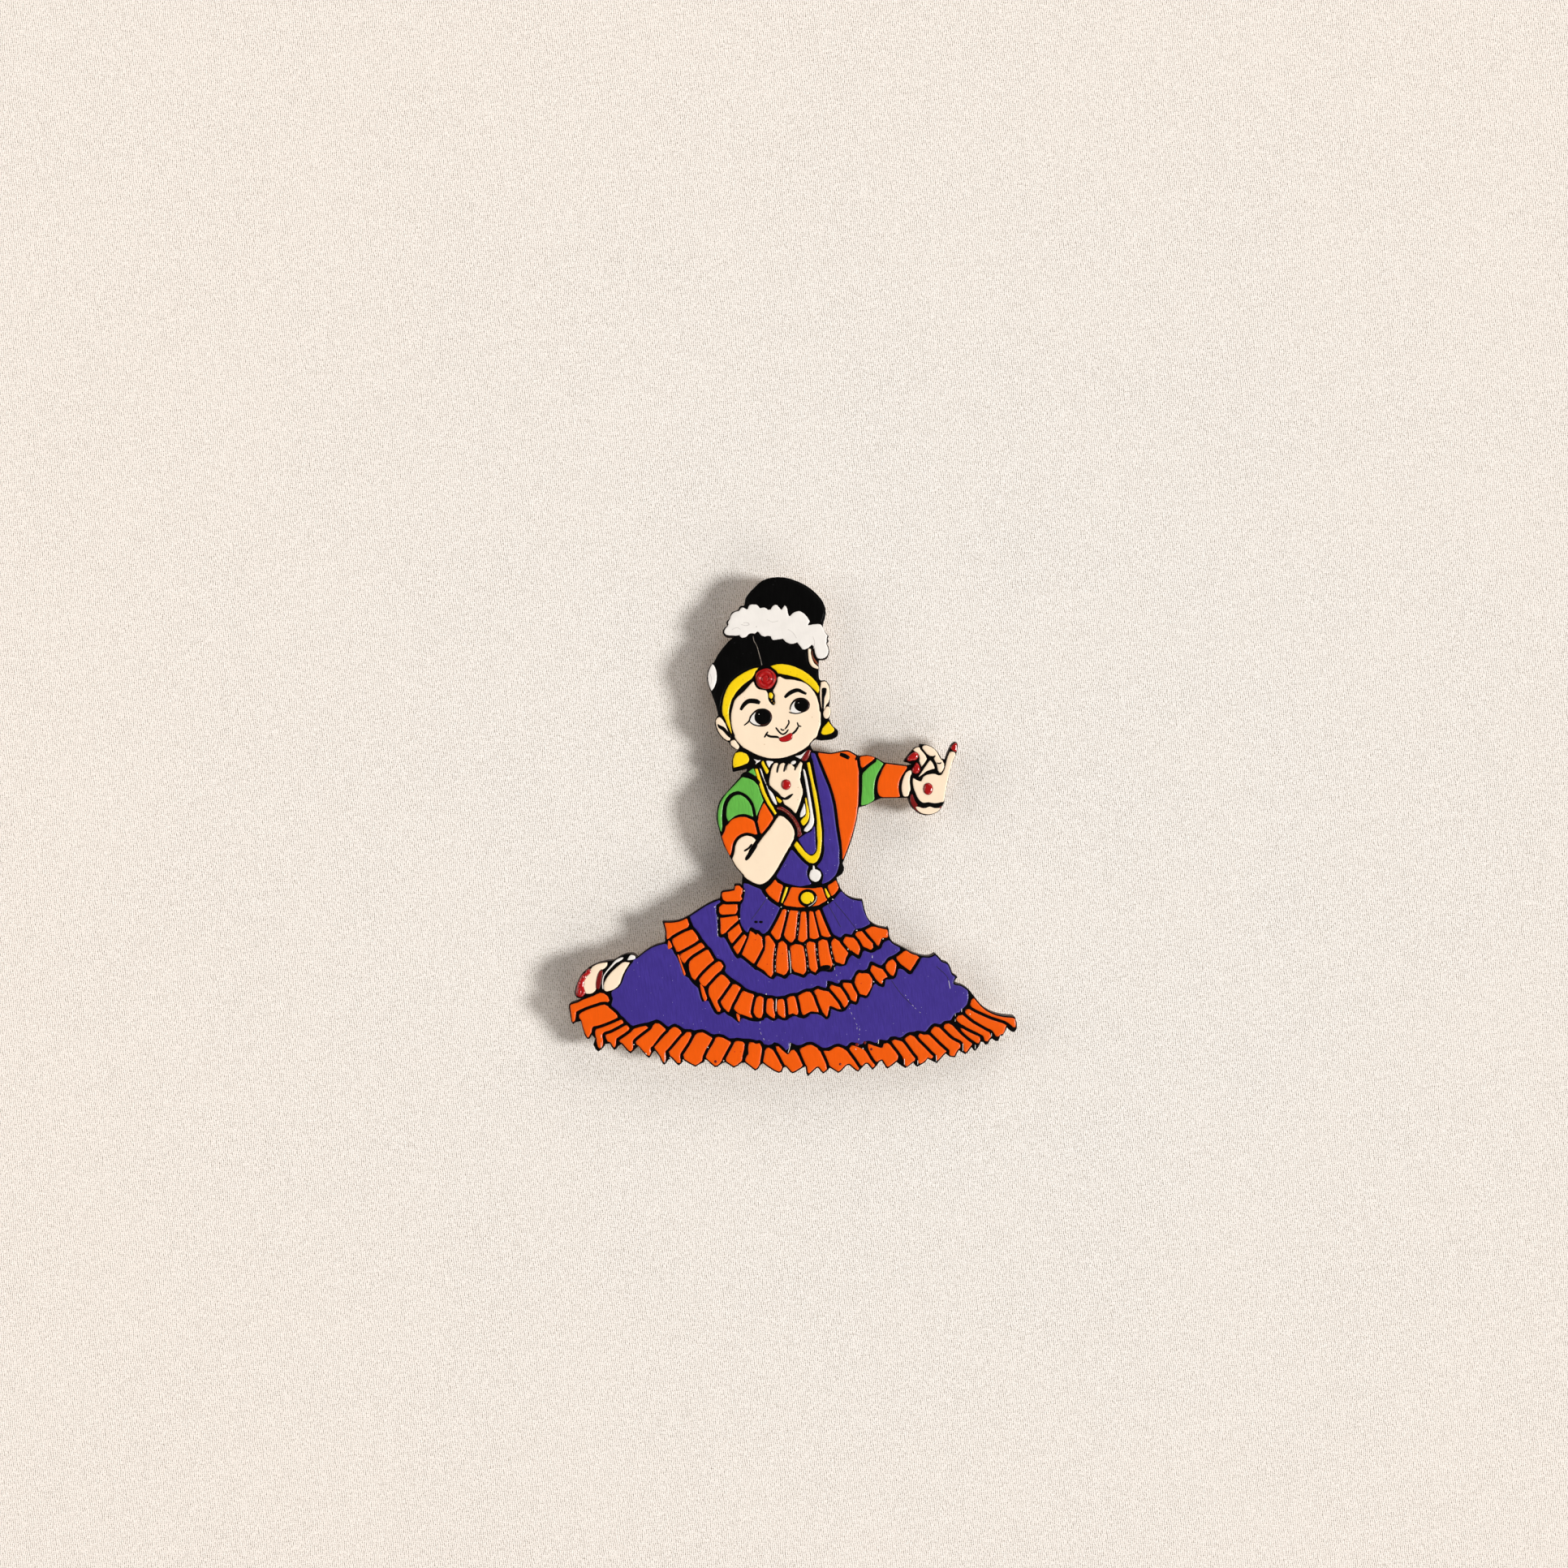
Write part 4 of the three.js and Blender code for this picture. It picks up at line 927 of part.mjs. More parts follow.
const carrier = group(
  node("board", plate(SILHOUETTE, BOARD_BACK, BOARD_FRONT), BOARD),
  node("black_coat", plate(SILHOUETTE, BOARD_FRONT, COAT_FRONT), BLACK),
  node("magnet_lower", disc(SKIRT_PLACE, MAGNET_DIAMETER, 0, MAGNET_FRONT), FERRITE),
  node("magnet_upper", disc(CHEST_PLACE, MAGNET_DIAMETER, 0, MAGNET_FRONT), FERRITE),
  node("glue_lower", disc(SKIRT_PLACE, GLUE_DIAMETER, MAGNET_FRONT, BOARD_BACK), GLUE),
  node("glue_upper", disc(CHEST_PLACE, GLUE_DIAMETER, MAGNET_FRONT, BOARD_BACK), GLUE),
);

const head = group(
  node("hair_bun", film(HAIR_BUN), BLACK),
  node("hair_cap", film(HAIR_CAP), BLACK),
  node("flower_garland", film(FLOWER_GARLAND), WHITE),
  node("temple_flower", film(TEMPLE_FLOWER), WHITE),
  node("headband_left", film(HEADBAND_LEFT), YELLOW),
  node("headband_right", film(HEADBAND_RIGHT), YELLOW),
  node("forehead_jewel", drop(oval(JEWEL_PLACE, JEWEL_RADIUS, JEWEL_RADIUS)), RED),
  node("face", film(FACE), SKIN),
  node("ear_left", film(EAR_LEFT), SKIN),
  node("ear_right", film(EAR_RIGHT), SKIN),
  node("earring_left", film(EARRING_LEFT), YELLOW),
  node("earring_right", film(EARRING_RIGHT), YELLOW),
);

const raisedArm = group(
  node("sleeve_left", film(SLEEVE_LEFT), GREEN),
  node("sleeve_inner_left", film(SLEEVE_INNER_LEFT), GREEN),
  node("cuff_left", film(CUFF_LEFT), ORANGE),
  node("forearm_left", film(FOREARM_LEFT), SKIN),
  node("bangle_left", film(BANGLE_LEFT), DARK_RED),
  node("hand_left", film(HAND_LEFT), SKIN),
  node("palm_dot_left", plate(PALM_DOT_LEFT, FILM_FRONT, DOT_FRONT), RED),
);

const bodice = group(
  node("bodice_orange", film(BODICE_ORANGE), ORANGE),
  node("bodice_side", film(BODICE_SIDE), VIOLET),
  node("bodice_waist", film(BODICE_WAIST), VIOLET),
  node("necklace_left", film(NECKLACE_LEFT), YELLOW),
  node("necklace_right", film(NECKLACE_RIGHT), YELLOW),
  node("chain_left", film(CHAIN_LEFT), WHITE),
  node("chain_right", film(CHAIN_RIGHT), WHITE),
  node("pendant", film(PENDANT), WHITE),
);

const stretchedArm = group(
  node("sash", film(SASH), ORANGE),
  node("shoulder_cap", film(SHOULDER_CAP), ORANGE),
  node("sleeve_right", film(SLEEVE_RIGHT), GREEN),
  node("cuff_right", film(CUFF_RIGHT), ORANGE),
  node("wrist_right", film(WRIST_RIGHT), SKIN),
  node("bangle_right", film(BANGLE_RIGHT), DARK_RED),
  node("palm_right", film(PALM_RIGHT), SKIN),
  node("palm_dot_right", plate(PALM_DOT_RIGHT, FILM_FRONT, DOT_FRONT), RED),
  node("finger_index", film(FINGER_INDEX), SKIN),
  node("thumb_right", film(THUMB_RIGHT), SKIN),
  node("nail_upper", drop(NAIL_UPPER), RED),
  node("nail_lower", drop(NAIL_LOWER), RED),
);

const belt = group(
  node("belt", film(BELT), ORANGE),
  node("belt_bar_left", plate(BELT_BAR_LEFT, FILM_FRONT, FILM_FRONT + FILM_THICKNESS), YELLOW),
  node("belt_bar_right", plate(BELT_BAR_RIGHT, FILM_FRONT, FILM_FRONT + FILM_THICKNESS), YELLOW),
  node("belt_buckle", plate(BELT_BUCKLE, FILM_FRONT, FILM_FRONT + FILM_THICKNESS), YELLOW),
);

const skirt = group(
  node("fan", ruffle(FAN_PLEATS, [FAN_RIBBON]), ORANGE),
  node("skirt_front_left", film(SKIRT_FRONT_LEFT), VIOLET),
  node("skirt_front_right", film(SKIRT_FRONT_RIGHT), VIOLET),
  node("skirt_middle", film(SKIRT_MIDDLE), VIOLET),
  node("skirt_lower", film(SKIRT_LOWER), VIOLET),
  node("ruffle_upper", ruffle(UPPER_PLEATS, [UPPER_RIBBON]), ORANGE),
  node("ruffle_middle", ruffle(MIDDLE_PLEATS, [MIDDLE_RIBBON]), ORANGE),
  node("ruffle_hem", ruffle(HEM_PLEATS, [HEM_RIBBON]), ORANGE),
);

const foot = group(
  node("foot", film(FOOT), SKIN),
  node("heel", film(HEEL), SKIN),
  node("toe_nails", drop(TOE_NAILS), RED),
);

const dancer = group(carrier, head, raisedArm, bodice, stretchedArm, belt, skirt, foot);
dancer.name = "painted_dancer_magnet";

export default dancer;
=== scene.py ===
"""Looks of the painted dancer wall magnet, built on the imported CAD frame.

Every colour film is rebuilt as a domed layer of paint on its own CAD outline, run out a little
over the black. Places are millimetres on the figure, [x, z], and heights are millimetres out from
the wall plane y = 0.
"""

import math

import bmesh
import bpy
import numpy as np
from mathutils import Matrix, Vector, geometry
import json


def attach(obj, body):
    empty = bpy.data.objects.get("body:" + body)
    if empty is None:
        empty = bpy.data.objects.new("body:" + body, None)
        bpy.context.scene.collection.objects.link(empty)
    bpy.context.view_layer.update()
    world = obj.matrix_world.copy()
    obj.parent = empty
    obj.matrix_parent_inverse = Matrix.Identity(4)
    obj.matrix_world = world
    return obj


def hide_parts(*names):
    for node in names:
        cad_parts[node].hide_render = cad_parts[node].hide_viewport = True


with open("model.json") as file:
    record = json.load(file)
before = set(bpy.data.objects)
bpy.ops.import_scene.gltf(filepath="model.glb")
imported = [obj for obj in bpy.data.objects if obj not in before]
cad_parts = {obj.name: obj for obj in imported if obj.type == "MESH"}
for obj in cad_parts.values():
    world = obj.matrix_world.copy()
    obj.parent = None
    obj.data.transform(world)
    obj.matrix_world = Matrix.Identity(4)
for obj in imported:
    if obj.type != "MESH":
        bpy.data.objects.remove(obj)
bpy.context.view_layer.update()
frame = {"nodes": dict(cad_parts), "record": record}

MM = 0.001
BOARD_FRONT = 6.2
COAT_FRONT = 6.3
FILM_FRONT = 6.45
MARK_FRONT = 6.52  # a painted mark on top of a film
DROP_FRONT = 6.85
HAIR_FRONT = 6.34  # a thin second coat
FINE_FRONT = 6.47  # thin strokes and specks
FULL_RIM = 0.24  # width of a wet paint edge's rounding
BLACK_LINE = 0.42  # narrowest black line left between two colours
BLACK_RIM = 0.2  # black left along the outline of the board
REACH = {"orange_paint": 0.26, "violet_paint": 0.24, "skin_paint": 0.14, "green_paint": 0.12}
NODE_REACH = {"foot": 0.4, "heel": 0.3}
SMALL_REACH = 0.06  # how far the other colours run out over the black
MAGNET_PLACES = {"magnet_lower": (0.0, 0.0), "magnet_upper": (0.0, 25.0)}
GLUE_PLACES = {"glue_lower": (0.0, 0.0), "glue_upper": (0.0, 25.0)}


# ------------------------------------------------------------------ outlines
def cad_loops(name):
    """Closed outlines of a CAD node's foremost faces, counter-clockwise, in millimetres."""
    mesh = frame["nodes"][name].data
    places = np.array([v.co for v in mesh.vertices], float) / MM
    front = places[:, 1].min()
    keys = {}
    ids = [keys.setdefault((round(p[0], 3), round(p[2], 3)), len(keys)) for p in places]
    flat = np.zeros((len(keys), 2))
    for k, p in zip(ids, places):
        flat[k] = (p[0], p[2])
    following = {}
    for face in mesh.polygons:
        corners = list(face.vertices)
        if max(abs(places[c][1] - front) for c in corners) > 1e-3:
            continue
        loop = [ids[c] for c in corners]
        a, b, c = (flat[k] for k in loop[:3])
        if (b[0] - a[0]) * (c[1] - a[1]) - (b[1] - a[1]) * (c[0] - a[0]) < 0:
            loop.reverse()
        for start, end in zip(loop, loop[1:] + loop[:1]):
            if start in following.get(end, ()):
                following[end].remove(start)
            else:
                following.setdefault(start, []).append(end)
    loops = []
    while any(following.values()):
        start = next(k for k in following if following[k])
        chain = [start]
        while following.get(chain[-1]):
            chain.append(following[chain[-1]].pop())
        if chain[-1] == start and len(chain) > 3:
            loops.append(flat[chain[:-1]])
    return loops


def smooth(points, closed=True, step=0.12):
    """A curve through the points, which may hold further columns such as a width."""
    p = np.array(points, float)
    count = len(p) if closed else len(p) - 1
    out = []
    for k in range(count):
        a, b, c, d = (
            p[(k + j) % len(p)] if closed else p[min(max(k + j, 0), len(p) - 1)]
            for j in (-1, 0, 1, 2)
        )
        parts = max(2, int(np.linalg.norm((c - b)[:2]) / step))
        for t in np.arange(parts) / parts:
            bend = (2 * a - 5 * b + 4 * c - d) * t * t + (3 * b - a - 3 * c + d) * t**3
            out.append(0.5 * (2 * b + (c - a) * t + bend))
    if not closed:
        out.append(p[-1])
    return np.array(out)


def oval(x, z, rx, rz=None, tilt=0.0, parts=28):
    """An ellipse, or a circle where only one radius is given."""
    rz = rx if rz is None else rz
    turn = np.arange(parts) * 2 * math.pi / parts
    a, b = rx * np.cos(turn), rz * np.sin(turn)
    cosine, sine = math.cos(tilt), math.sin(tilt)
    return np.stack([x + a * cosine - b * sine, z + a * sine + b * cosine], 1)


def stroke(points, width, tip=0.35):
    """Outline of a brushed line of a width, or of widths in a third column, with narrow ends."""
    stations = [(*p[:2], p[2] if len(p) > 2 else width) for p in points]
    line = smooth(stations, closed=False, step=max(0.06, width * 0.5))
    along = np.gradient(line[:, :2], axis=0)
    along /= np.linalg.norm(along, axis=1)[:, None]
    across = np.stack([-along[:, 1], along[:, 0]], 1)
    run = np.concatenate([[0], np.cumsum(np.linalg.norm(np.diff(line[:, :2], axis=0), axis=1))])
    left = np.minimum(run, run[-1] - run) / np.maximum(line[:, 2] * 0.7, 1e-6)
    half = line[:, 2] / 2 * np.sqrt(tip**2 + (1 - tip**2) * np.clip(left, 0, 1))
    one = line[:, :2] + across * half[:, None]
    two = line[:, :2] - across * half[:, None]
    return np.concatenate([one, two[::-1]])


def dashes(points, width, dash=0.35, gap=0.3):
    """Short strokes along a line, for the painted highlights, white glints, that lie along a
    groove.
    """
    line = smooth(points, closed=False, step=0.05)
    run = np.concatenate([[0], np.cumsum(np.linalg.norm(np.diff(line, axis=0), axis=1))])
    loops = []
    start = 0.0
    number = 0
    while start < run[-1] - 0.1:
        length = dash * (0.25 + 1.3 * abs(math.sin(7.3 * number + line[0][0])))
        places = np.linspace(start, min(start + length, run[-1]), 4)
        spots = np.stack([np.interp(places, run, line[:, k]) for k in (0, 1)], 1)
        loops.append(stroke(spots.tolist(), width))
        start += length + gap * (0.4 + 1.9 * abs(math.cos(5.1 * number + line[0][1])))
        number += 1
    return loops


def area_of(loop):
    x, z = loop[:, 0], loop[:, 1]
    return 0.5 * float(np.sum(x * np.roll(z, -1) - z * np.roll(x, -1)))


def respaced(loop, spacing):
    """The loop with its long edges split, and its corners kept."""
    out = []
    for a, b in zip(loop, np.roll(loop, -1, axis=0)):
        parts = max(1, int(round(np.linalg.norm(b - a) / spacing)))
        out.extend(a + (b - a) * k / parts for k in range(parts))
    return np.array(out)


def span_distance(points, a, b):
    """Distance from each point to the nearest of the edges from a to b."""
    span = b - a
    length = np.maximum((span**2).sum(1), 1e-12)
    nearest = np.full(len(points), 1e9)
    for chunk in range(0, len(points), 400):
        p = points[chunk : chunk + 400, None, :]
        t = np.clip(((p - a) * span).sum(2) / length, 0, 1)
        gap = p - (a + span * t[..., None])
        nearest[chunk : chunk + 400] = np.sqrt((gap**2).sum(2)).min(1)
    return nearest


def edge_distance(points, loop):
    """Distance from each point to the loop."""
    return span_distance(points, loop, np.roll(loop, -1, axis=0))


def inside(points, loop):
    a, b = loop, np.roll(loop, -1, axis=0)
    result = np.zeros(len(points), bool)
    for chunk in range(0, len(points), 800):
        p = points[chunk : chunk + 800, None, :]
        crosses = (a[:, 1] > p[..., 1]) != (b[:, 1] > p[..., 1])
        rise = np.where(b[:, 1] == a[:, 1], 1e-12, b[:, 1] - a[:, 1])
        at = a[:, 0] + (p[..., 1] - a[:, 1]) * (b[:, 0] - a[:, 0]) / rise
        result[chunk : chunk + 800] = (crosses & (p[..., 0] < at)).sum(1) % 2 == 1
    return result


def run_out(loop, neighbours, border, reach):
    """The loop pushed outward by at most reach, leaving black beside neighbours and border."""
    if area_of(loop) < 0:
        loop = loop[::-1]
    loop = respaced(loop, 0.2)
    ahead = np.roll(loop, -1, axis=0) - loop
    ahead /= np.maximum(np.linalg.norm(ahead, axis=1), 1e-9)[:, None]
    both = ahead + np.roll(ahead, 1, axis=0)
    both /= np.maximum(np.linalg.norm(both, axis=1), 1e-9)[:, None]
    outward = np.stack([both[:, 1], -both[:, 0]], 1)
    corner = np.maximum((both * ahead).sum(1), 0.6)
    starts = np.concatenate(neighbours)
    ends = np.concatenate([np.roll(other, -1, axis=0) for other in neighbours])
    room = (span_distance(loop, starts, ends) - BLACK_LINE) / 2
    room = np.minimum(room, edge_distance(loop, border) - BLACK_RIM)
    step = np.clip(room, 0, reach)
    moved = loop + outward * (step / corner)[:, None]
    return moved[edge_distance(moved, loop) > 0.9 * step - 1e-6]


# ------------------------------------------------------------------ paint
def swell(points, size):
    """Gentle unevenness of a brushed surface, from -1 to 1."""
    x, z = points[:, 0] / size, points[:, 1] / size
    return (
        np.sin(1.9 * x + 1.3 * np.sin(0.8 * z) + 0.4)
        + np.sin(2.3 * z + 1.7 * np.sin(0.7 * x) + 1.1)
        + np.sin(1.3 * (x + z) + 2.0)
    ) / 3


def island(mesh, layer, loop, back, front, rim, uneven, grid):
    """Adds one domed patch of paint to a bmesh, and gives the edges of its open back."""
    if area_of(loop) < 0:
        loop = loop[::-1]
    size = area_of(loop)
    around = np.linalg.norm(loop - np.roll(loop, -1, axis=0), axis=1).sum()
    mean_width = 2 * size / around
    rim = min(rim, 0.6 * mean_width)
    spacing = min(max(0.45 * mean_width, 0.09), grid)
    loop = respaced(loop, min(spacing, 0.3))
    keep = np.linalg.norm(loop - np.roll(loop, 1, axis=0), axis=1) > 0.012
    loop = loop[keep]
    along = np.roll(loop, -1, axis=0) - np.roll(loop, 1, axis=0)
    along /= np.maximum(np.linalg.norm(along, axis=1), 1e-9)[:, None]
    inward = np.stack([-along[:, 1], along[:, 0]], 1)
    rings = []
    for share in (0.12, 0.4, 1.0):
        ring = loop + inward * rim * share
        good = inside(ring, loop)
        good &= edge_distance(ring, loop) > 0.85 * rim * share
        rings.append(ring[good])
    low, high = loop.min(0), loop.max(0)
    xs = np.arange(low[0], high[0], spacing)
    zs = np.arange(low[1], high[1], spacing * 0.87)
    gx, gz = np.meshgrid(xs, zs)
    gx = gx + (np.arange(len(zs)) % 2)[:, None] * spacing / 2
    net = np.stack([gx.ravel(), gz.ravel()], 1)
    net = net[inside(net, loop)]
    if len(net):
        net = net[edge_distance(net, loop) > min(rim * 1.25, 0.32 * mean_width)]
    extra = np.concatenate([*rings, net]) if len(net) else np.concatenate(rings)
    cells = {}
    closest = 0.3 * min(spacing, rim)
    for p in extra:
        cells.setdefault((round(p[0] / closest), round(p[1] / closest)), p)
    extra = np.array(list(cells.values())).reshape(-1, 2)
    points = np.concatenate([loop, extra])
    edges = [(k, (k + 1) % len(loop)) for k in range(len(loop))]
    made = geometry.delaunay_2d_cdt([Vector(p) for p in points], edges, [], 1, 1e-4)
    flat = np.array([tuple(v) for v in made[0]])
    depth = edge_distance(flat, loop)
    depth[depth < 2e-3] = 0
    dome = np.sqrt(1 - (1 - np.clip(depth / rim, 0, 1)) ** 2)
    height = back + (front - back) * dome * (1 + uneven * (swell(flat, 1.1) - 1) / 2)
    verts = []
    for (x, z), h, d in zip(flat, height, depth):
        v = mesh.verts.new((x * MM, -h * MM, z * MM))
        v[layer] = d
        verts.append(v)
    for face in made[2]:
        a, b, c = (flat[k] for k in face[:3])
        turn = (b[0] - a[0]) * (c[1] - a[1]) - (b[1] - a[1]) * (c[0] - a[0])
        corners = [verts[k] for k in (face if turn > 0 else face[::-1])]
        if abs(turn) > 1e-9:
            try:
                mesh.faces.new(corners)
            except ValueError:
                continue
    return [e for e in mesh.edges
            if e.is_boundary and e.verts[0][layer] == 0 == e.verts[1][layer]]


def close_back(mesh, rim_edges):
    """Closes the flat back of one patch."""
    bmesh.ops.holes_fill(mesh, edges=rim_edges, sides=0)


def piece(name, mesh_data, material, replaced=()):
    obj = bpy.data.objects.new(name, mesh_data)
    bpy.context.scene.collection.objects.link(obj)
    mesh_data.materials.append(material)
    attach(obj, "root")
    if replaced:
        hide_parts(*replaced)
    return obj


def paint(name, loops, look, back=COAT_FRONT, front=FILM_FRONT, rim=FULL_RIM, uneven=0.25,
          grid=0.5, replaced=()):
    """One piece of paint made of one or more patches of one colour."""
    mesh = bmesh.new()
    layer = mesh.verts.layers.float.new("edge_mm")
    for loop in loops:
        outline = np.asarray(loop, float)
        close_back(mesh, island(mesh, layer, outline, back, front, rim, uneven, grid))
    for face in mesh.faces:
        face.smooth = len(face.verts) < 5
    data = bpy.data.meshes.new(name)
    mesh.to_mesh(data)
    mesh.free()
    return piece(name, data, look, replaced)


def lathe(name, centre, profile, look, replaced, parts=96, wobble=0.0):
    """A turned disc: profile is [radius, height] from its back centre round to its front centre."""
    mesh = bmesh.new()
    rings = []
    for radius, height in profile:
        ring = []
        for k in range(parts):
            turn = 2 * math.pi * k / parts
            r = radius * (1 + wobble * (math.sin(3 * turn + 1) + math.sin(7 * turn)) / 2)
            place = (centre[0] + r * math.cos(turn), -height, centre[1] + r * math.sin(turn))
            ring.append(mesh.verts.new([c * MM for c in place]))
        rings.append(ring)
    mesh.faces.new(rings[0])
    for one, two in zip(rings, rings[1:]):
        for k in range(parts):
            mesh.faces.new([one[k], two[k], two[(k + 1) % parts], one[(k + 1) % parts]])
    mesh.faces.new(rings[-1][::-1])
    bmesh.ops.recalc_face_normals(mesh, faces=mesh.faces)
    for face in mesh.faces:
        face.smooth = len(face.verts) == 4
    data = bpy.data.meshes.new(name)
    mesh.to_mesh(data)
    mesh.free()
    return piece(name, data, look, replaced)


# ------------------------------------------------------------------ looks
def add(tree, kind, links=None, **settings):
    """Adds a shader node, sets its properties, and links or sets its inputs."""
    node = tree.nodes.new("ShaderNode" + kind)
    for key, value in settings.items():
        setattr(node, key, value)
    for key, value in (links or {}).items():
        if isinstance(value, bpy.types.NodeSocket):
            tree.links.new(value, node.inputs[key])
        else:
            node.inputs[key].default_value = value
    return node.outputs


def new_look(name):
    look = bpy.data.materials.new(name)
    look.use_nodes = True
    tree = look.node_tree
    tree.nodes.clear()
    shader = tree.nodes.new("ShaderNodeBsdfPrincipled")
    output = tree.nodes.new("ShaderNodeOutputMaterial")
    tree.links.new(shader.outputs[0], output.inputs[0])
    return look, tree, shader


def linear(code):
    """A six-digit colour code as linear light with full alpha."""
    parts = [int(code[k : k + 2], 16) / 255 for k in (0, 2, 4)]
    light = [p / 12.92 if p <= 0.04045 else ((p + 0.055) / 1.055) ** 2.4 for p in parts]
    return (*light, 1)


def blend_colour(tree, factor, one, two):
    """The first colour where the factor is 0, and the second where it is 1."""
    return add(tree, "Mix", {0: factor, 6: one, 7: two}, data_type="RGBA")[2]


def ramp(tree, value, low, high, out_low=0.0, out_high=1.0):
    """The value's place between low and high, held to the range from out_low to out_high."""
    return add(tree, "MapRange", {"Value": value, "From Min": low, "From Max": high,
                                  "To Min": out_low, "To Max": out_high})[0]


def noise(tree, place, scale, detail=3.0, stretch=(1, 1, 1), turn=0.0):
    """Noise with features about 1/scale mm wide, stretched along an axis and turned about Y."""
    turned = add(tree, "Mapping", {"Vector": place, "Rotation": (0, turn, 0)})[0]
    mapped = add(tree, "Mapping", {"Vector": turned, "Scale": [s * scale / MM for s in stretch]})[0]
    return add(tree, "TexNoise", {"Vector": mapped, "Scale": 1.0, "Detail": detail})[0]


def paint_look(name, colour, edge, rough=0.3, turn=0.0, streak=0.1, mottle=0.1, specks=None,
               edge_width=0.05, relief=0.3, coat=0.4, specular=0.35):
    """Brushed acrylic: streaks, soft mottling, pits or specks, and a thin edge colour."""
    look, tree, shader = new_look(name)
    place = add(tree, "TexCoord")["Object"]
    streaks = noise(tree, place, 5.0, 4.0, (1, 1, 0.12), turn)
    clouds = noise(tree, place, 0.55, 3.0)
    fine = noise(tree, place, 9.0, 2.0)
    base = linear(colour)
    dark = [c * (1 - streak * 1.6) for c in base[:3]] + [1]
    light = [min(1, c * (1 + streak) + 0.02 * streak) for c in base[:3]] + [1]
    body = blend_colour(tree, ramp(tree, streaks, 0.3, 0.7), dark, light)
    worn = [c * (1 - mottle) for c in base[:3]] + [1]
    body = blend_colour(tree, ramp(tree, clouds, 0.42, 0.7, 0, 0.6), body, worn)
    if specks:
        speck_colour, per_mm, size = specks
        cells = add(tree, "Mapping", {"Vector": place, "Scale": [per_mm / MM] * 3})[0]
        dot = add(tree, "TexVoronoi", {"Vector": cells, "Scale": 1.0, "Randomness": 1.0})[0]
        body = blend_colour(tree, ramp(tree, dot, size, size * 0.6), body, linear(speck_colour))
    depth = add(tree, "Attribute", attribute_name="edge_mm")["Fac"]
    shift = ramp(tree, fine, 0.3, 0.7, -0.025, 0.025)
    ragged = add(tree, "Math", {0: depth, 1: shift}, operation="ADD")[0]
    body = blend_colour(tree, ramp(tree, ragged, edge_width, edge_width * 0.35), body, linear(edge))
    tree.links.new(body, shader.inputs["Base Color"])
    roughness = ramp(tree, fine, 0.3, 0.7, rough - 0.06, rough + 0.08)
    tree.links.new(roughness, shader.inputs["Roughness"])
    lumps = add(tree, "Math", {0: streaks, 1: fine, 2: 0.5}, operation="MULTIPLY_ADD")[0]
    bump = add(tree, "Bump", {"Height": lumps, "Strength": relief, "Distance": 0.03 * MM})[0]
    tree.links.new(bump, shader.inputs["Normal"])
    shader.inputs["Coat Weight"].default_value = coat
    shader.inputs["Coat Roughness"].default_value = 0.12
    shader.inputs["Specular IOR Level"].default_value = specular
    return look


BURNT = "3b1708"
LOOKS = {
    "black_paint": paint_look("black_gloss_paint", "040404", "040303", 0.3, 0, 0.05, 0.2,
                              ("3a3a3e", 0.9, 0.05), relief=0.05, coat=0.02, specular=0.1),
    "orange_paint": paint_look("orange_gloss_paint", "ef5c00", "7a1a06", 0.36, 0.1, 0.04, 0.07,
                               ("c83e0c", 0.42, 0.06), relief=0.15, coat=0.2, specular=0.22),
    "violet_paint": paint_look("violet_brushed_paint", "3e2e8e", "17102e", 0.42, 0.12, 0.12, 0.12,
                               ("a9a2d6", 1.1, 0.06), relief=0.5, coat=0.2, specular=0.25),
    "green_paint": paint_look("green_gloss_paint", "63b84a", "1c3a14", 0.38, 0.15, 0.12, 0.12,
                              ("3f7f30", 0.6, 0.05), relief=0.2, coat=0.25, specular=0.25),
    "skin_paint": paint_look("cream_gloss_paint", "fbe7cc", "6a4327", 0.36, 0.1, 0.008, 0.04,
                             ("d9b994", 0.5, 0.05), relief=0.06, coat=0.25, specular=0.25),
    "yellow_paint": paint_look("yellow_gloss_paint", "f7d408", "6b4406", 0.36, 0.1, 0.02, 0.1,
                               ("a87c08", 1.4, 0.1), relief=0.1, coat=0.25, specular=0.25),
    "white_paint": paint_look("white_gloss_paint", "f1eeea", BURNT, 0.4, 0.2, 0.015, 0.09,
                              ("d0cdc9", 0.6, 0.08), relief=0.12, coat=0.25, specular=0.25),
    "red_paint": paint_look("red_drop_paint", "b00c0e", "420507", 0.16, 0.3, 0.1, 0.15,
                            edge_width=0.1, coat=0.8),
    "dark_red_paint": paint_look("dark_red_paint", "7c0d0d", "2a0504", 0.3, 0.5, 0.15, 0.2,
                                 edge_width=0.1),
}
# White paint for painted highlights: the glints in the grooves, on the pupils and on the buckle.
GLINT_PAINT = paint_look("white_glint_paint", "f4f2ee", "8a8a8a", 0.3, 0, 0.05, 0.05, None, 0.03)
PART_LINE = paint_look("grey_line_paint", "8d8378", "2b2420", 0.5, 0, 0.2, 0.2, None, 0.04)
# Darker violet along the engraved creases: painted shade in the grooves.
CREASE_SHADE_VIOLET = paint_look("violet_crease_shade_paint", "2a1f5c", "2a1f5c", 0.45, 0, 0.1, 0.1, None, 0.02)
BROWN = paint_look("brown_paint", "4a2010", "1a0a05", 0.35, 0, 0.2, 0.2, None, 0.06)
PALE_GREY = paint_look("pale_grey_paint", "d3cfcc", "d3cfcc", 0.4, 0, 0.05, 0.1, None, 0.02)
RUST = paint_look("rust_paint", "8a3d1a", "2a1006", 0.35, 0, 0.15, 0.2, None, 0.05)
GOLD = paint_look("gold_paint", "b8860b", "3b2705", 0.3, 0, 0.1, 0.1, None, 0.05)


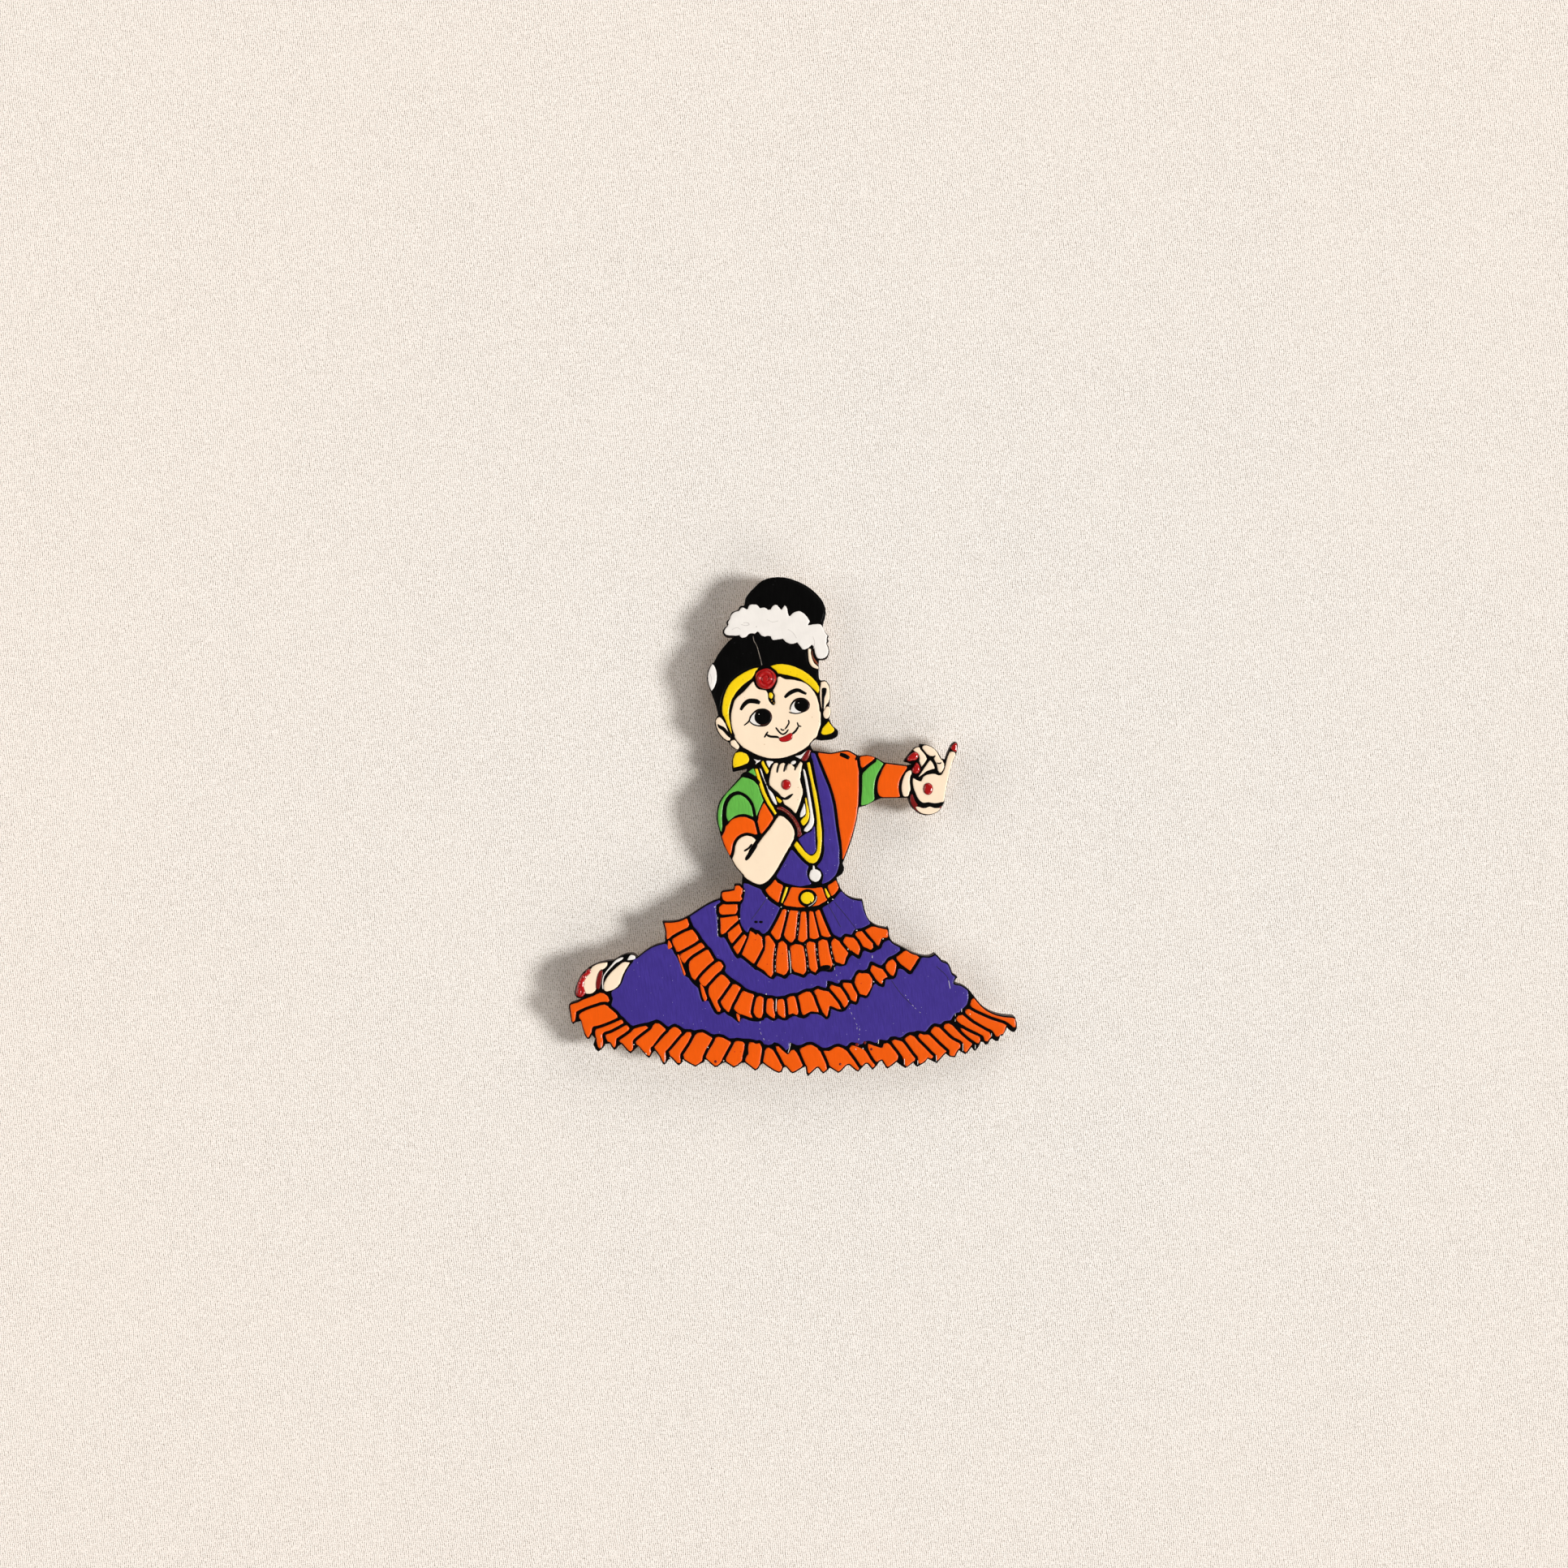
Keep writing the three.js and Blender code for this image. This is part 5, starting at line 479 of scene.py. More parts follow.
def board_look():
    """Fibre board: speckled back, and laser-scorched cut edges with fine lines across the board."""
    look, tree, shader = new_look("fibre_board")
    place = add(tree, "TexCoord")["Object"]
    facing = add(tree, "SeparateXYZ", {0: add(tree, "NewGeometry")["Normal"]})[1]
    flat = ramp(tree, add(tree, "Math", {0: facing}, operation="ABSOLUTE")[0], 0.5, 0.7)
    fibres = noise(tree, place, 2.2, 6.0)
    hairs = noise(tree, place, 7.0, 3.0, (1, 1, 0.25), 0.5)
    raw = blend_colour(tree, ramp(tree, fibres, 0.35, 0.65), linear("8a6a45"), linear("b08d62"))
    raw = blend_colour(tree, ramp(tree, hairs, 0.5, 0.75, 0, 0.5), raw, linear("cdb189"))
    lines = noise(tree, place, 6.0, 3.0, (1, 0.06, 1))
    burnt = blend_colour(tree, ramp(tree, lines, 0.35, 0.7), linear("160a05"), linear("4a2a16"))
    tree.links.new(blend_colour(tree, flat, burnt, raw), shader.inputs["Base Color"])
    tree.links.new(ramp(tree, fibres, 0.3, 0.7, 0.7, 0.9), shader.inputs["Roughness"])
    rough = add(tree, "Math", {0: lines, 1: hairs}, operation="ADD")[0]
    bump = add(tree, "Bump", {"Height": rough, "Strength": 0.6, "Distance": 0.06 * MM})[0]
    tree.links.new(bump, shader.inputs["Normal"])
    return look


def ferrite_look():
    """Dark sintered ferrite with fine grain, ground faces and a few pale chips."""
    look, tree, shader = new_look("sintered_ferrite")
    place = add(tree, "TexCoord")["Object"]
    grain = noise(tree, place, 6.0, 6.0)
    scratches = noise(tree, place, 4.0, 3.0, (0.05, 1, 1), 0.4)
    body = blend_colour(tree, ramp(tree, grain, 0.35, 0.65), linear("2b2b2d"), linear("48484b"))
    body = blend_colour(tree, ramp(tree, scratches, 0.6, 0.75, 0, 0.5), body, linear("6d6d70"))
    tree.links.new(body, shader.inputs["Base Color"])
    tree.links.new(ramp(tree, grain, 0.3, 0.7, 0.5, 0.75), shader.inputs["Roughness"])
    bump = add(tree, "Bump", {"Height": grain, "Strength": 0.4, "Distance": 0.05 * MM})[0]
    tree.links.new(bump, shader.inputs["Normal"])
    return look


def glue_look():
    """Cured clear glue, slightly yellow and cloudy."""
    look, tree, shader = new_look("cured_glue")
    place = add(tree, "TexCoord")["Object"]
    clouds = noise(tree, place, 1.2, 3.0)
    body = blend_colour(tree, ramp(tree, clouds, 0.35, 0.65), linear("c9c0a4"), linear("e2dcc8"))
    tree.links.new(body, shader.inputs["Base Color"])
    tree.links.new(ramp(tree, clouds, 0.3, 0.7, 0.2, 0.4), shader.inputs["Roughness"])
    shader.inputs["Subsurface Weight"].default_value = 0.2
    shader.inputs["Subsurface Radius"].default_value = (MM, MM, MM)
    return look


# ------------------------------------------------------------------ painted films
SLOT_OF = {row["node"]: row["material_slot"] for row in frame["record"]["subparts"]}
OWN_SHAPE = {
    "board", "black_coat", "magnet_lower", "magnet_upper", "glue_lower", "glue_upper",
    "hair_bun", "hair_cap", "forehead_jewel", "palm_dot_left", "palm_dot_right",
    "nail_upper", "nail_lower", "toe_nails",
    "belt", "belt_bar_left", "belt_bar_right", "belt_buckle",
}

paint("black_coat_paint", cad_loops("black_coat"), LOOKS["black_paint"],
      back=BOARD_FRONT, front=COAT_FRONT, rim=0.12, uneven=0.1, grid=1.6, replaced=["black_coat"])
paint("hair_paint", [*cad_loops("hair_bun"), *cad_loops("hair_cap")], LOOKS["black_paint"],
      back=COAT_FRONT - 0.02, front=HAIR_FRONT, rim=1.2,
      replaced=["hair_bun", "hair_cap"])
FIELDS = {node: cad_loops(node) for node in SLOT_OF if node not in OWN_SHAPE or node == "belt"}
OUTLINE = max(cad_loops("black_coat"), key=area_of)
for node, slot_name in SLOT_OF.items():
    if node in OWN_SHAPE:
        continue
    patches = []
    for number, loop in enumerate(FIELDS[node]):
        others = [other for name, loops in FIELDS.items() for k, other in enumerate(loops)
                  if (name, k) != (node, number)]
        reach = NODE_REACH.get(node, REACH.get(slot_name, SMALL_REACH))
        patches.append(run_out(loop, others, OUTLINE, reach))
    paint(node + "_paint", patches, LOOKS[slot_name], replaced=[node])

board_material = board_look()
frame["nodes"]["board"].data.materials.clear()
frame["nodes"]["board"].data.materials.append(board_material)


# ------------------------------------------------------------------ marks
def marks(name, loops, colour, look=None, back=FILM_FRONT - 0.03, front=MARK_FRONT, rim=0.15):
    return paint(name, loops, look or LOOKS[colour], back=back, front=front, rim=rim,
                 uneven=0.1, grid=0.3)


marks("hair_parting", [
    stroke([(-5.0, 53.1), (-4.88, 52.3), (-4.44, 51.5), (-4.05, 50.15), (-3.8, 49.25),
            (-3.67, 48.5)], 0.15),
], "black_paint", PART_LINE, back=6.3, front=6.38)

marks("garland_swirls", [
    stroke([(-6.85, 54.85), (-6.2, 54.65), (-5.6, 54.8), (-5.9, 55.1), (-6.5, 55.05)], 0.1),
    stroke([(-8.3, 54.0), (-7.5, 54.35), (-6.9, 54.0)], 0.08),
    stroke([(-2.9, 55.6), (-2.0, 55.2), (-1.1, 55.4)], 0.08),
    stroke([(0.3, 54.1), (1.1, 53.6), (1.7, 52.7)], 0.08),
    stroke([(4.2, 53.0), (4.5, 52.0), (4.3, 51.1)], 0.08),
    stroke([(-11.6, 47.2), (-11.4, 46.4), (-11.5, 45.6)], 0.09),
], "white_paint", PALE_GREY, front=FINE_FRONT)

# The temple ornament on the right: a cream crescent with a brown sliver in its bend.
marks("temple_ornament_right", [
    smooth([(3.45, 51.05), (3.45, 50.15), (3.58, 49.1), (3.96, 48.4), (4.54, 48.05), (5.0, 47.97),
            (5.05, 48.3), (4.41, 48.9), (4.09, 49.65), (3.9, 50.4), (3.9, 51.05)]),
], "skin_paint", back=COAT_FRONT, front=FINE_FRONT, rim=0.2)
marks("temple_ornament_sliver", [
    smooth([(4.15, 51.0), (4.28, 49.9), (5.05, 48.75), (4.92, 48.6), (4.3, 49.2), (4.05, 50.1)]),
], "dark_red_paint", RUST, back=COAT_FRONT, front=6.44)

# Tikka drop below the jewel.
marks("tikka_body", [
    smooth([(-3.0, 44.5), (-2.77, 44.15), (-2.7, 43.3), (-2.26, 42.6), (-1.87, 42.4),
            (-1.62, 42.75), (-1.74, 43.3), (-1.64, 43.9), (-1.87, 44.3), (-2.13, 44.5)]),
], "black_paint", back=COAT_FRONT, front=6.44)
marks("tikka_drop", [
    smooth([(-2.55, 44.3), (-2.13, 44.3), (-1.92, 43.9), (-2.15, 43.35), (-2.6, 43.65)]),
], "yellow_paint", back=6.38, front=6.56, rim=0.25)
marks("tikka_beads", [
    oval(-2.13, 43.05, 0.13), oval(-1.8, 42.72, 0.12),
], "yellow_paint", GOLD, back=6.38, front=6.5)

# Ears: a black hollow on each, and a cream lobe below.
marks("ear_hollows", [
    smooth([(-10.49, 39.5), (-10.08, 39.3), (-9.44, 39.0), (-8.92, 38.4), (-8.41, 37.75),
            (-8.54, 37.35), (-9.05, 37.75), (-9.69, 38.45), (-10.33, 38.9)]),
    smooth([(5.63, 45), (6.27, 45), (6.27, 44.3), (6.0, 43.5), (5.95, 42.6), (5.88, 41.7),
            (5.63, 41.85), (5.56, 42.9), (5.56, 44.15)]),
], "black_paint")
marks("ear_lobes", [
    smooth([(-8.47, 36.85), (-7.9, 37.05), (-7.5, 36.65), (-7.13, 36), (-7.45, 35.55),
            (-8.03, 35.9), (-8.47, 36.3)]),
    smooth([(5.88, 41.6), (6.2, 42.1), (6.6, 42.2), (6.9, 41.85), (6.95, 41.1), (6.6, 40.45),
            (6.2, 40.3), (5.88, 40.55), (5.76, 41.1)]),
], "skin_paint", back=COAT_FRONT, front=FILM_FRONT, rim=0.25)

# Face.
marks("eyebrows", [
    stroke([(-6.94, 41.6, 0.45), (-6.5, 42.35, 0.62), (-5.85, 42.95, 0.72), (-5.2, 43.05, 0.75),
            (-4.44, 42.95, 0.75), (-3.95, 42.7, 0.6)], 0.5, 0.8),
    stroke([(-0.16, 43.55, 0.45), (0.56, 44.2, 0.62), (1.33, 44.6, 0.66), (1.97, 44.7, 0.6),
            (2.6, 44.4, 0.5), (3.25, 44.1, 0.4)], 0.45, 0.8),
], "black_paint")
marks("eye_whites", [
    smooth([(-5.55, 39.9), (-5.3, 40.6), (-4.9, 41.15), (-4.3, 41.4), (-3.6, 41.2), (-3.0, 40.2),
            (-3.0, 39.45), (-4.1, 39.28), (-4.95, 39.48)]),
    smooth([(0.72, 41.4), (1.6, 41.15), (2.5, 41.35), (2.9, 41.7), (2.4, 42.3), (1.9, 42.9),
            (1.46, 43.0), (0.98, 42.5), (0.78, 41.9)]),
], "white_paint", front=6.48, rim=0.1)
marks("eye_shade", [
    oval(-3.5, 40.55, 1.44, 1.35), oval(2.48, 42.39, 1.28, 1.12),
], "dark_red_paint", BROWN, back=6.44, front=6.49, rim=0.3)
marks("pupils", [
    oval(-3.53, 40.56, 1.32, 1.24), oval(2.46, 42.4, 1.18, 1.03),
], "black_paint", back=6.44, front=6.53, rim=0.4)
marks("eye_lines", [
    stroke([(-6.45, 39.25, 0.2), (-5.97, 39.6, 0.24), (-5.59, 40.0, 0.26), (-5.4, 40.6, 0.26),
            (-5.0, 41.1, 0.26), (-4.55, 41.5, 0.28), (-4.05, 41.72, 0.26), (-3.28, 41.75, 0.2),
            (-2.64, 41.4, 0.18), (-2.3, 40.8, 0.16)], 0.25),
    stroke([(-5.6, 39.95), (-4.95, 39.42), (-4.05, 39.2), (-3.15, 39.25), (-2.6, 39.6),
            (-2.25, 40.3)], 0.22),
    stroke([(0.5, 41.35, 0.18), (0.8, 41.22, 0.2), (1.6, 41.1, 0.2), (2.36, 41.25, 0.2),
            (3.05, 41.6, 0.2), (3.5, 42.2, 0.18)], 0.16),
    stroke([(0.66, 41.6, 0.16), (0.72, 42.1, 0.2), (0.98, 42.65, 0.24), (1.46, 43.18, 0.26),
            (2.1, 43.45, 0.2), (2.87, 43.4, 0.18), (3.4, 43.0, 0.16)], 0.2),
], "black_paint")
marks("pupil_glints", [
    oval(-4.1, 41.0, 0.07), oval(2.0, 42.75, 0.06),
], "white_paint", GLINT_PAINT, back=6.5, front=6.55)
marks("nose", [
    stroke([(-1.55, 39.0), (-0.97, 38.25), (-0.46, 37.92), (0.05, 38.15), (0.46, 38.7)], 0.28),
    stroke([(-0.78, 38.8), (-0.53, 38.55), (-0.14, 38.6)], 0.25),
    stroke([(0.4, 40.15), (0.52, 39.7), (0.24, 39.15), (-0.14, 38.65)], 0.26),
], "black_paint", front=6.49)
marks("mouth", [
    stroke([(-3.3, 37.35), (-3.05, 37.8), (-2.7, 38.35)], 0.28),
    stroke([(-3.0, 37.9), (-2.4, 37.58), (-1.36, 37.5), (-0.97, 37.35)], 0.38),
    stroke([(0.95, 37.95), (1.2, 38.1), (1.6, 38.5), (2.0, 39.15)], 0.34),
    stroke([(1.78, 39.8), (1.98, 39.25), (2.45, 39.1)], 0.25),
], "black_paint", front=6.49)
marks("lips", [
    smooth([(-1.04, 37.35), (-0.46, 37.55), (0.18, 37.85), (0.8, 38.15), (1.1, 37.9), (0.98, 37.2),
            (0.3, 36.78), (-0.6, 36.72), (-1.0, 37.0)]),
], "red_paint", front=6.56, rim=0.3)

# Neck, collar and shoulder.
marks("neck_petals", [
    smooth([(-4.95, 34.1), (-4.3, 33.95), (-3.8, 33.9), (-4.44, 33.4), (-4.7, 33.2),
            (-4.6, 33.65)]),
    smooth([(-3.0, 33.8), (-1.87, 33.7), (-2.26, 33.25), (-2.58, 32.75)]),
    smooth([(1.46, 34.55), (2.36, 34.8), (3.38, 35.5), (2.74, 34.65), (2.3, 34.1), (1.85, 34.3)]),
    oval(1.2, 33.55, 0.45, 0.3, 0.4),
], "white_paint", back=COAT_FRONT, front=FILM_FRONT)
marks("choker_jewel", [
    smooth([(3.45, 35.55), (3.9, 35.5), (3.9, 35.2), (3.58, 34.3), (3.13, 33.75), (2.5, 33.85),
            (2.4, 34.15), (2.74, 34.8), (3.13, 35.3)]),
], "dark_red_paint", back=COAT_FRONT, front=6.55, rim=0.4)
marks("shoulder_green", [
    smooth([(-5.03, 32.65), (-4.7, 32.1), (-4.58, 31.4), (-5.15, 31.75), (-5.8, 32.0)]),
], "green_paint", back=COAT_FRONT, front=FILM_FRONT)
marks("necklace_chips", [
    smooth([(-3.77, 33.5), (-3.45, 33.85), (-3.13, 33.2), (-2.6, 32.3), (-2.94, 31.8),
            (-3.4, 32.6)]),
    smooth([(-1.5, 28.35), (-0.95, 28), (-0.56, 27.6), (-0.9, 27.3), (-1.27, 27.6)]),
    smooth([(2.96, 28), (3.2, 28.1), (3.4, 27.1), (3.6, 26.3), (3.67, 25.3), (3.4, 24.5),
            (2.9, 23.9), (2.58, 23.9), (2.3, 24.5), (2.64, 25), (3.03, 25.4), (3.15, 26.3)]),
], "yellow_paint", back=COAT_FRONT, front=FILM_FRONT)
marks("inner_petal", [
    smooth([(2.9, 27.3), (3.1, 25.8), (2.5, 25.15), (2.2, 25.15), (2.26, 25.8), (2.64, 26.8)]),
], "white_paint", back=COAT_FRONT, front=FINE_FRONT)
marks("bodice_inner", [
    smooth([(2.13, 21.95), (3.15, 22.65), (3.9, 23), (4.3, 23.7), (4.5, 23.7), (4.6, 22.5),
            (4.63, 21.2), (4.7, 20.15), (4.3, 19.5), (3.8, 19.4), (3.3, 19.6), (2.64, 20.5),
            (2.0, 21.6)]),
], "violet_paint", back=COAT_FRONT, front=FILM_FRONT)
marks("arm_strokes", [
    stroke([(-6.95, 31.4, 0.4), (-6.05, 31.85, 0.65), (-5.03, 31.3, 0.65),
            (-3.95, 30.35, 0.45)], 0.6),
    stroke([(-6.44, 19.9), (-5.7, 20.35), (-5.15, 21.05)], 0.32),
    stroke([(-6.2, 18.5, 0.65), (-5.5, 19.4, 0.6), (-4.4, 20.9, 0.4)], 0.6),
    stroke([(-0.3, 27.85), (0.4, 28.3), (1.17, 28.7)], 0.28),
    stroke([(8.35, 34.85), (9.1, 34.6), (9.8, 34.2)], 0.68, 0.7),
    stroke([(10.75, 33.9), (11.0, 34.3), (11.2, 34.7)], 0.4),
    stroke([(19.9, 28.7, 0.35), (20.2, 27.8, 0.6), (20.8, 27.15, 0.72), (21.4, 27.0, 0.66),
            (22.0, 27.15, 0.6), (22.8, 26.95, 0.7), (23.6, 27.0, 0.7), (24.35, 27.35, 0.6)], 0.6),
    stroke([(20.2, 26.95, 0.3), (20.9, 26.85, 0.42), (21.5, 26.65, 0.34), (22.2, 26.9, 0.4),
            (23.0, 26.7, 0.4), (23.7, 26.65, 0.3)], 0.4),
    stroke([(22.4, 34.5), (22.8, 34.4), (23.1, 34.65)], 0.25),
    stroke([(23.3, 33.5), (23.75, 33.4), (24.0, 33.6)], 0.22),
], "black_paint")

marks("hand_lines", [
    stroke([(-1.05, 33.3), (-1.2, 32.7), (-1.32, 31.95)], 0.32),
    stroke([(0.05, 33.4), (-0.1, 32.8), (-0.28, 32.1)], 0.3),
    stroke([(1.7, 33.3), (1.5, 32.7), (1.42, 32.3)], 0.28),
    stroke([(-2.7, 29.7, 0.3), (-1.7, 28.95, 0.4), (-0.85, 28.25, 0.42), (0.0, 27.95, 0.34),
            (0.6, 28.2, 0.3), (1.1, 28.7, 0.16)], 0.3),
], "black_paint")
# A thin cream line along the bangle: partly the bangle's own cream line and partly a painted
# highlight along its length.
marks("bangle_line_and_highlight", [
    stroke([(-1.35, 26.5), (-0.5, 26.3), (0.5, 25.6), (1.35, 24.6), (1.95, 23.4),
            (2.1, 22.4)], 0.08),
], "skin_paint", front=6.48)

# Stretched hand.
marks("finger_middle", [
    smooth([(22.23, 33.9), (22.5, 33.7), (22.8, 33.2), (22.94, 32.65), (22.36, 32.45), (21.7, 32.2),
            (21.2, 31.8), (20.44, 31.3), (20.8, 31.9), (21.33, 32.7), (21.85, 33.45)]),
], "skin_paint", back=COAT_FRONT, front=FILM_FRONT)
marks("little_nail", [
    smooth([(26.2, 36.65), (26.44, 36.3), (26.36, 35.25), (25.95, 35.25), (25.44, 35.6),
            (25.4, 35.9), (25.7, 36.35)]),
], "red_paint", back=COAT_FRONT, front=6.6, rim=0.35)
marks("bangle_inset", [
    smooth([(20.0, 26.7), (20.5, 26.75), (21.2, 26.55), (22.0, 26.85), (22.9, 26.6), (23.5, 26.6),
            (23.85, 26.5), (23.4, 26.0), (22.6, 25.65), (21.8, 25.56), (20.9, 25.76),
            (20.3, 26.2)]),
], "skin_paint", front=6.5)

# Belt: three orange lengths, two yellow bars and the buckle on its black ring.
paint("belt_paint", [
    smooth([(-1.65, 15.5), (-1.2, 15.05), (-0.44, 14.6), (-0.63, 13.7), (-0.9, 12.65),
            (-1.14, 12.0), (-1.85, 12.45), (-2.6, 13.1), (-3.1, 13.9), (-2.8, 14.3),
            (-2.2, 14.85)]),
    smooth([(0.85, 14.3), (1.5, 14.35), (2.64, 14.25), (4.2, 14.2), (4.95, 14.3), (5.6, 14.3),
            (5.9, 13.55), (6.17, 12.8), (6.36, 12.35), (5.46, 11.8), (4.8, 11.5), (2.5, 11.25),
            (0.97, 11.35), (-0.3, 11.65), (0.08, 12.55), (0.46, 13.4)]),
    smooth([(6.5, 14.6), (7.1, 15.0), (7.7, 15.4), (8.0, 14.85), (8.15, 14.2), (7.64, 13.4),
            (7.1, 13.0), (6.87, 13.3), (6.6, 13.95)]),
], LOOKS["orange_paint"], replaced=["belt"])
paint("belt_bars_paint", [*cad_loops("belt_bar_left"), *cad_loops("belt_bar_right")],
      LOOKS["yellow_paint"], front=6.5, rim=0.2,
      replaced=["belt_bar_left", "belt_bar_right"])
marks("buckle_ring", [oval(3.4, 12.67, 1.48, 1.4)], "black_paint", front=6.5)
paint("belt_buckle_paint", [
    oval(3.35, 12.7, 1.05, 0.95),
], LOOKS["yellow_paint"], back=6.48, front=6.6, rim=0.35, replaced=["belt_buckle"])
marks("buckle_strokes", [
    stroke([(3.7, 12.3), (3.9, 12.0), (3.5, 11.7)], 0.25),
], "black_paint", back=6.5, front=6.62)
marks("buckle_glint", [
    stroke([(4.75, 13.0), (4.6, 12.3), (4.1, 11.75), (3.5, 11.4)], 0.12),
], "white_paint", GLINT_PAINT, back=6.48, front=6.54)

# Foot.
marks("foot_stripe", [
    stroke([(-28.3, 1.7, 0.5), (-28.55, 0.9, 0.8), (-28.8, -0.2, 0.85), (-28.95, -1.5, 0.7)], 0.8),
], "dark_red_paint")
marks("anklet", [
    stroke([(-28.15, -1.4, 0.2), (-28.2, -0.3, 0.22), (-28.05, 0.6, 0.22), (-27.6, 1.3, 0.25),
            (-27.0, 2.0, 0.3), (-26.3, 2.75, 0.4), (-25.7, 3.15, 0.5), (-25.0, 3.5, 0.35)], 0.25),
    smooth([(-24.4, 3.1), (-24.0, 3.1), (-23.6, 3.15), (-23.2, 3.3), (-23.1, 3.6), (-23.3, 3.85),
            (-23.8, 3.95), (-24.1, 3.75), (-24.3, 3.4)]),
], "white_paint", back=COAT_FRONT, front=6.5)

# Skirt: slivers between pleats, engraved creases drawn darker as painted shade, spots, and white
# painted highlights standing in for the glints in the grooves.
marks("pleat_slivers", [smooth(p) for p in (
    [(-18.1, 6.1), (-17.9, 6.1), (-17.5, 5.35), (-17.6, 5.0), (-18.1, 4.8), (-18.2, 5.3)],
    [(-16.7, 4.0), (-16.4, 3.9), (-16.15, 3.1), (-15.8, 2.1), (-15.4, 1.0), (-15.7, 0.8),
     (-16.1, 2.0), (-16.5, 3.2)],
    [(-13.2, -0.6), (-12.7, -1.0), (-12.4, -1.8), (-12.1, -2.8), (-12.5, -3.2), (-12.9, -2.3)],
    [(-7.6, -5.1), (-7.1, -5.4), (-7.1, -6.4), (-7.5, -5.9)])],
      "orange_paint", back=COAT_FRONT, front=6.44)
# Painted shade: darker violet lines along the engraved creases of the skirt.
marks("skirt_crease_shade", [stroke(p, 0.14) for p in (
    [(6.6, 11.6), (7.5, 10.0), (8.5, 8.2)], [(7.5, 12.1), (9.1, 10.2), (10.9, 7.9)],
    [(-3, 12.5), (-4.1, 10.9), (-5.3, 9.3)], [(16.3, 0), (17.9, -2.2), (19.5, -3.8)],
    [(23.2, 2.2), (24.7, 0.8), (25.1, 0)])], "violet_paint", CREASE_SHADE_VIOLET, front=6.465, rim=0.05)
marks("skirt_spots", [
    oval(-4.55, 9.0, 0.3, 0.2), oval(-3.8, 9.0, 0.32, 0.2), oval(6.0, 1.9, 1.0, 0.45, 0.2),
], "black_paint")
marks("hem_spots", [
    oval(-10.8, -12.5, 0.22), oval(8.4, -12.9, 0.2), oval(11.0, -9.9, 0.3), oval(12.2, -9.6, 0.25),
    oval(13.2, -10.6, 0.2),
], "dark_red_paint", front=6.48)

# Painted highlights: white strokes and spots along the engraved grooves stand in for glints off the
# groove walls. DASHED paths get broken strokes, SOLID paths whole strokes, and the spots are single
# glints.
DASHED = (
    [(-10.45, 9.8), (-10.45, 6.5)], [(-1.6, 5.0), (-1.6, 0.9)], [(3.0, 5.6), (3.5, 1.4)],
    [(4.75, 5), (5, 3)], [(6.95, 5.3), (7.2, 3.4), (7.6, 1.6), (8.2, -0.3)],
    [(2.05, 10.6), (1.75, 6.6)], [(9.8, -4.2), (10.3, -5.4), (10.9, -6.5), (11.0, -7.6)],
    [(11.4, -7.3), (11.35, -8.4), (11.2, -9.3)],
    [(-3.9, -6.3), (-4.0, -7.5), (-3.5, -8.8), (-3.2, -9.3)], [(26.15, -5.1), (26.1, -6.6)],
    [(18.4, -2.2), (19.6, -3.9), (21.0, -5.2)],
)
SOLID = (
    [(0.5, 4.6), (0.7, 2.8), (0.8, 1.1)], [(-1.45, -2.8), (-1.5, -4.8)], [(25.1, 0), (25.35, -1.3)],
    [(13.35, 3.9), (13.35, 3.4)], [(0.75, -9.6), (0.6, -10.4), (0.35, -11.2)],
    [(14.3, -9.1), (14.3, -9.8)], [(27.1, -4.3), (27.1, -4.9)], [(-28.4, -8.3), (-28.4, -8.9)],
    [(-28.4, -9.5), (-28.4, -10.4)], [(-20.9, -10.6), (-20.9, -11.1)],
    [(-18.6, -11.2), (-18.6, -12.7)], [(18.3, -12.0), (18.3, -13.0)],
    [(20.35, -12.3), (20.35, -13.0)], [(23.2, -11.5), (23.2, -12.5)], [(27.3, -9.7), (27.3, -10.9)],
    [(29.2, -9.9), (29.2, -10.6)], [(31.7, -8.1), (31.7, -8.7)],
)
GROOVE_GLINT_SPOTS = (
    (-10.95, 11.3), (-6.4, 13.8), (-2.9, 12.7), (-0.7, 11.3), (6.5, 12), (7.25, 12.5), (-7.1, 9.5),
    (10.95, 7.7), (15, 6.4), (9.6, 4.8), (-3, -2.1), (9.65, -3.2), (13.55, -0.2), (14.9, -0.2),
    (0.4, 10.7), (28.4, -5.2), (-23.4, -9.9), (-21.5, -11.3), (-17.8, -11.9), (-15.8, -12.3),
    (-12.0, -10.3), (-12.4, -12.3), (-9.55, -12.4), (11.9, -10.5), (10.8, -10.6),
)
marks("groove_glints",
      [loop for path in DASHED for loop in dashes(path, 0.09)]
      + [stroke(path, 0.12) for path in SOLID] + [oval(x, z, 0.09, 0.13, x) for x, z in GROOVE_GLINT_SPOTS],
      "white_paint", GLINT_PAINT, back=COAT_FRONT, front=FINE_FRONT, rim=0.06)


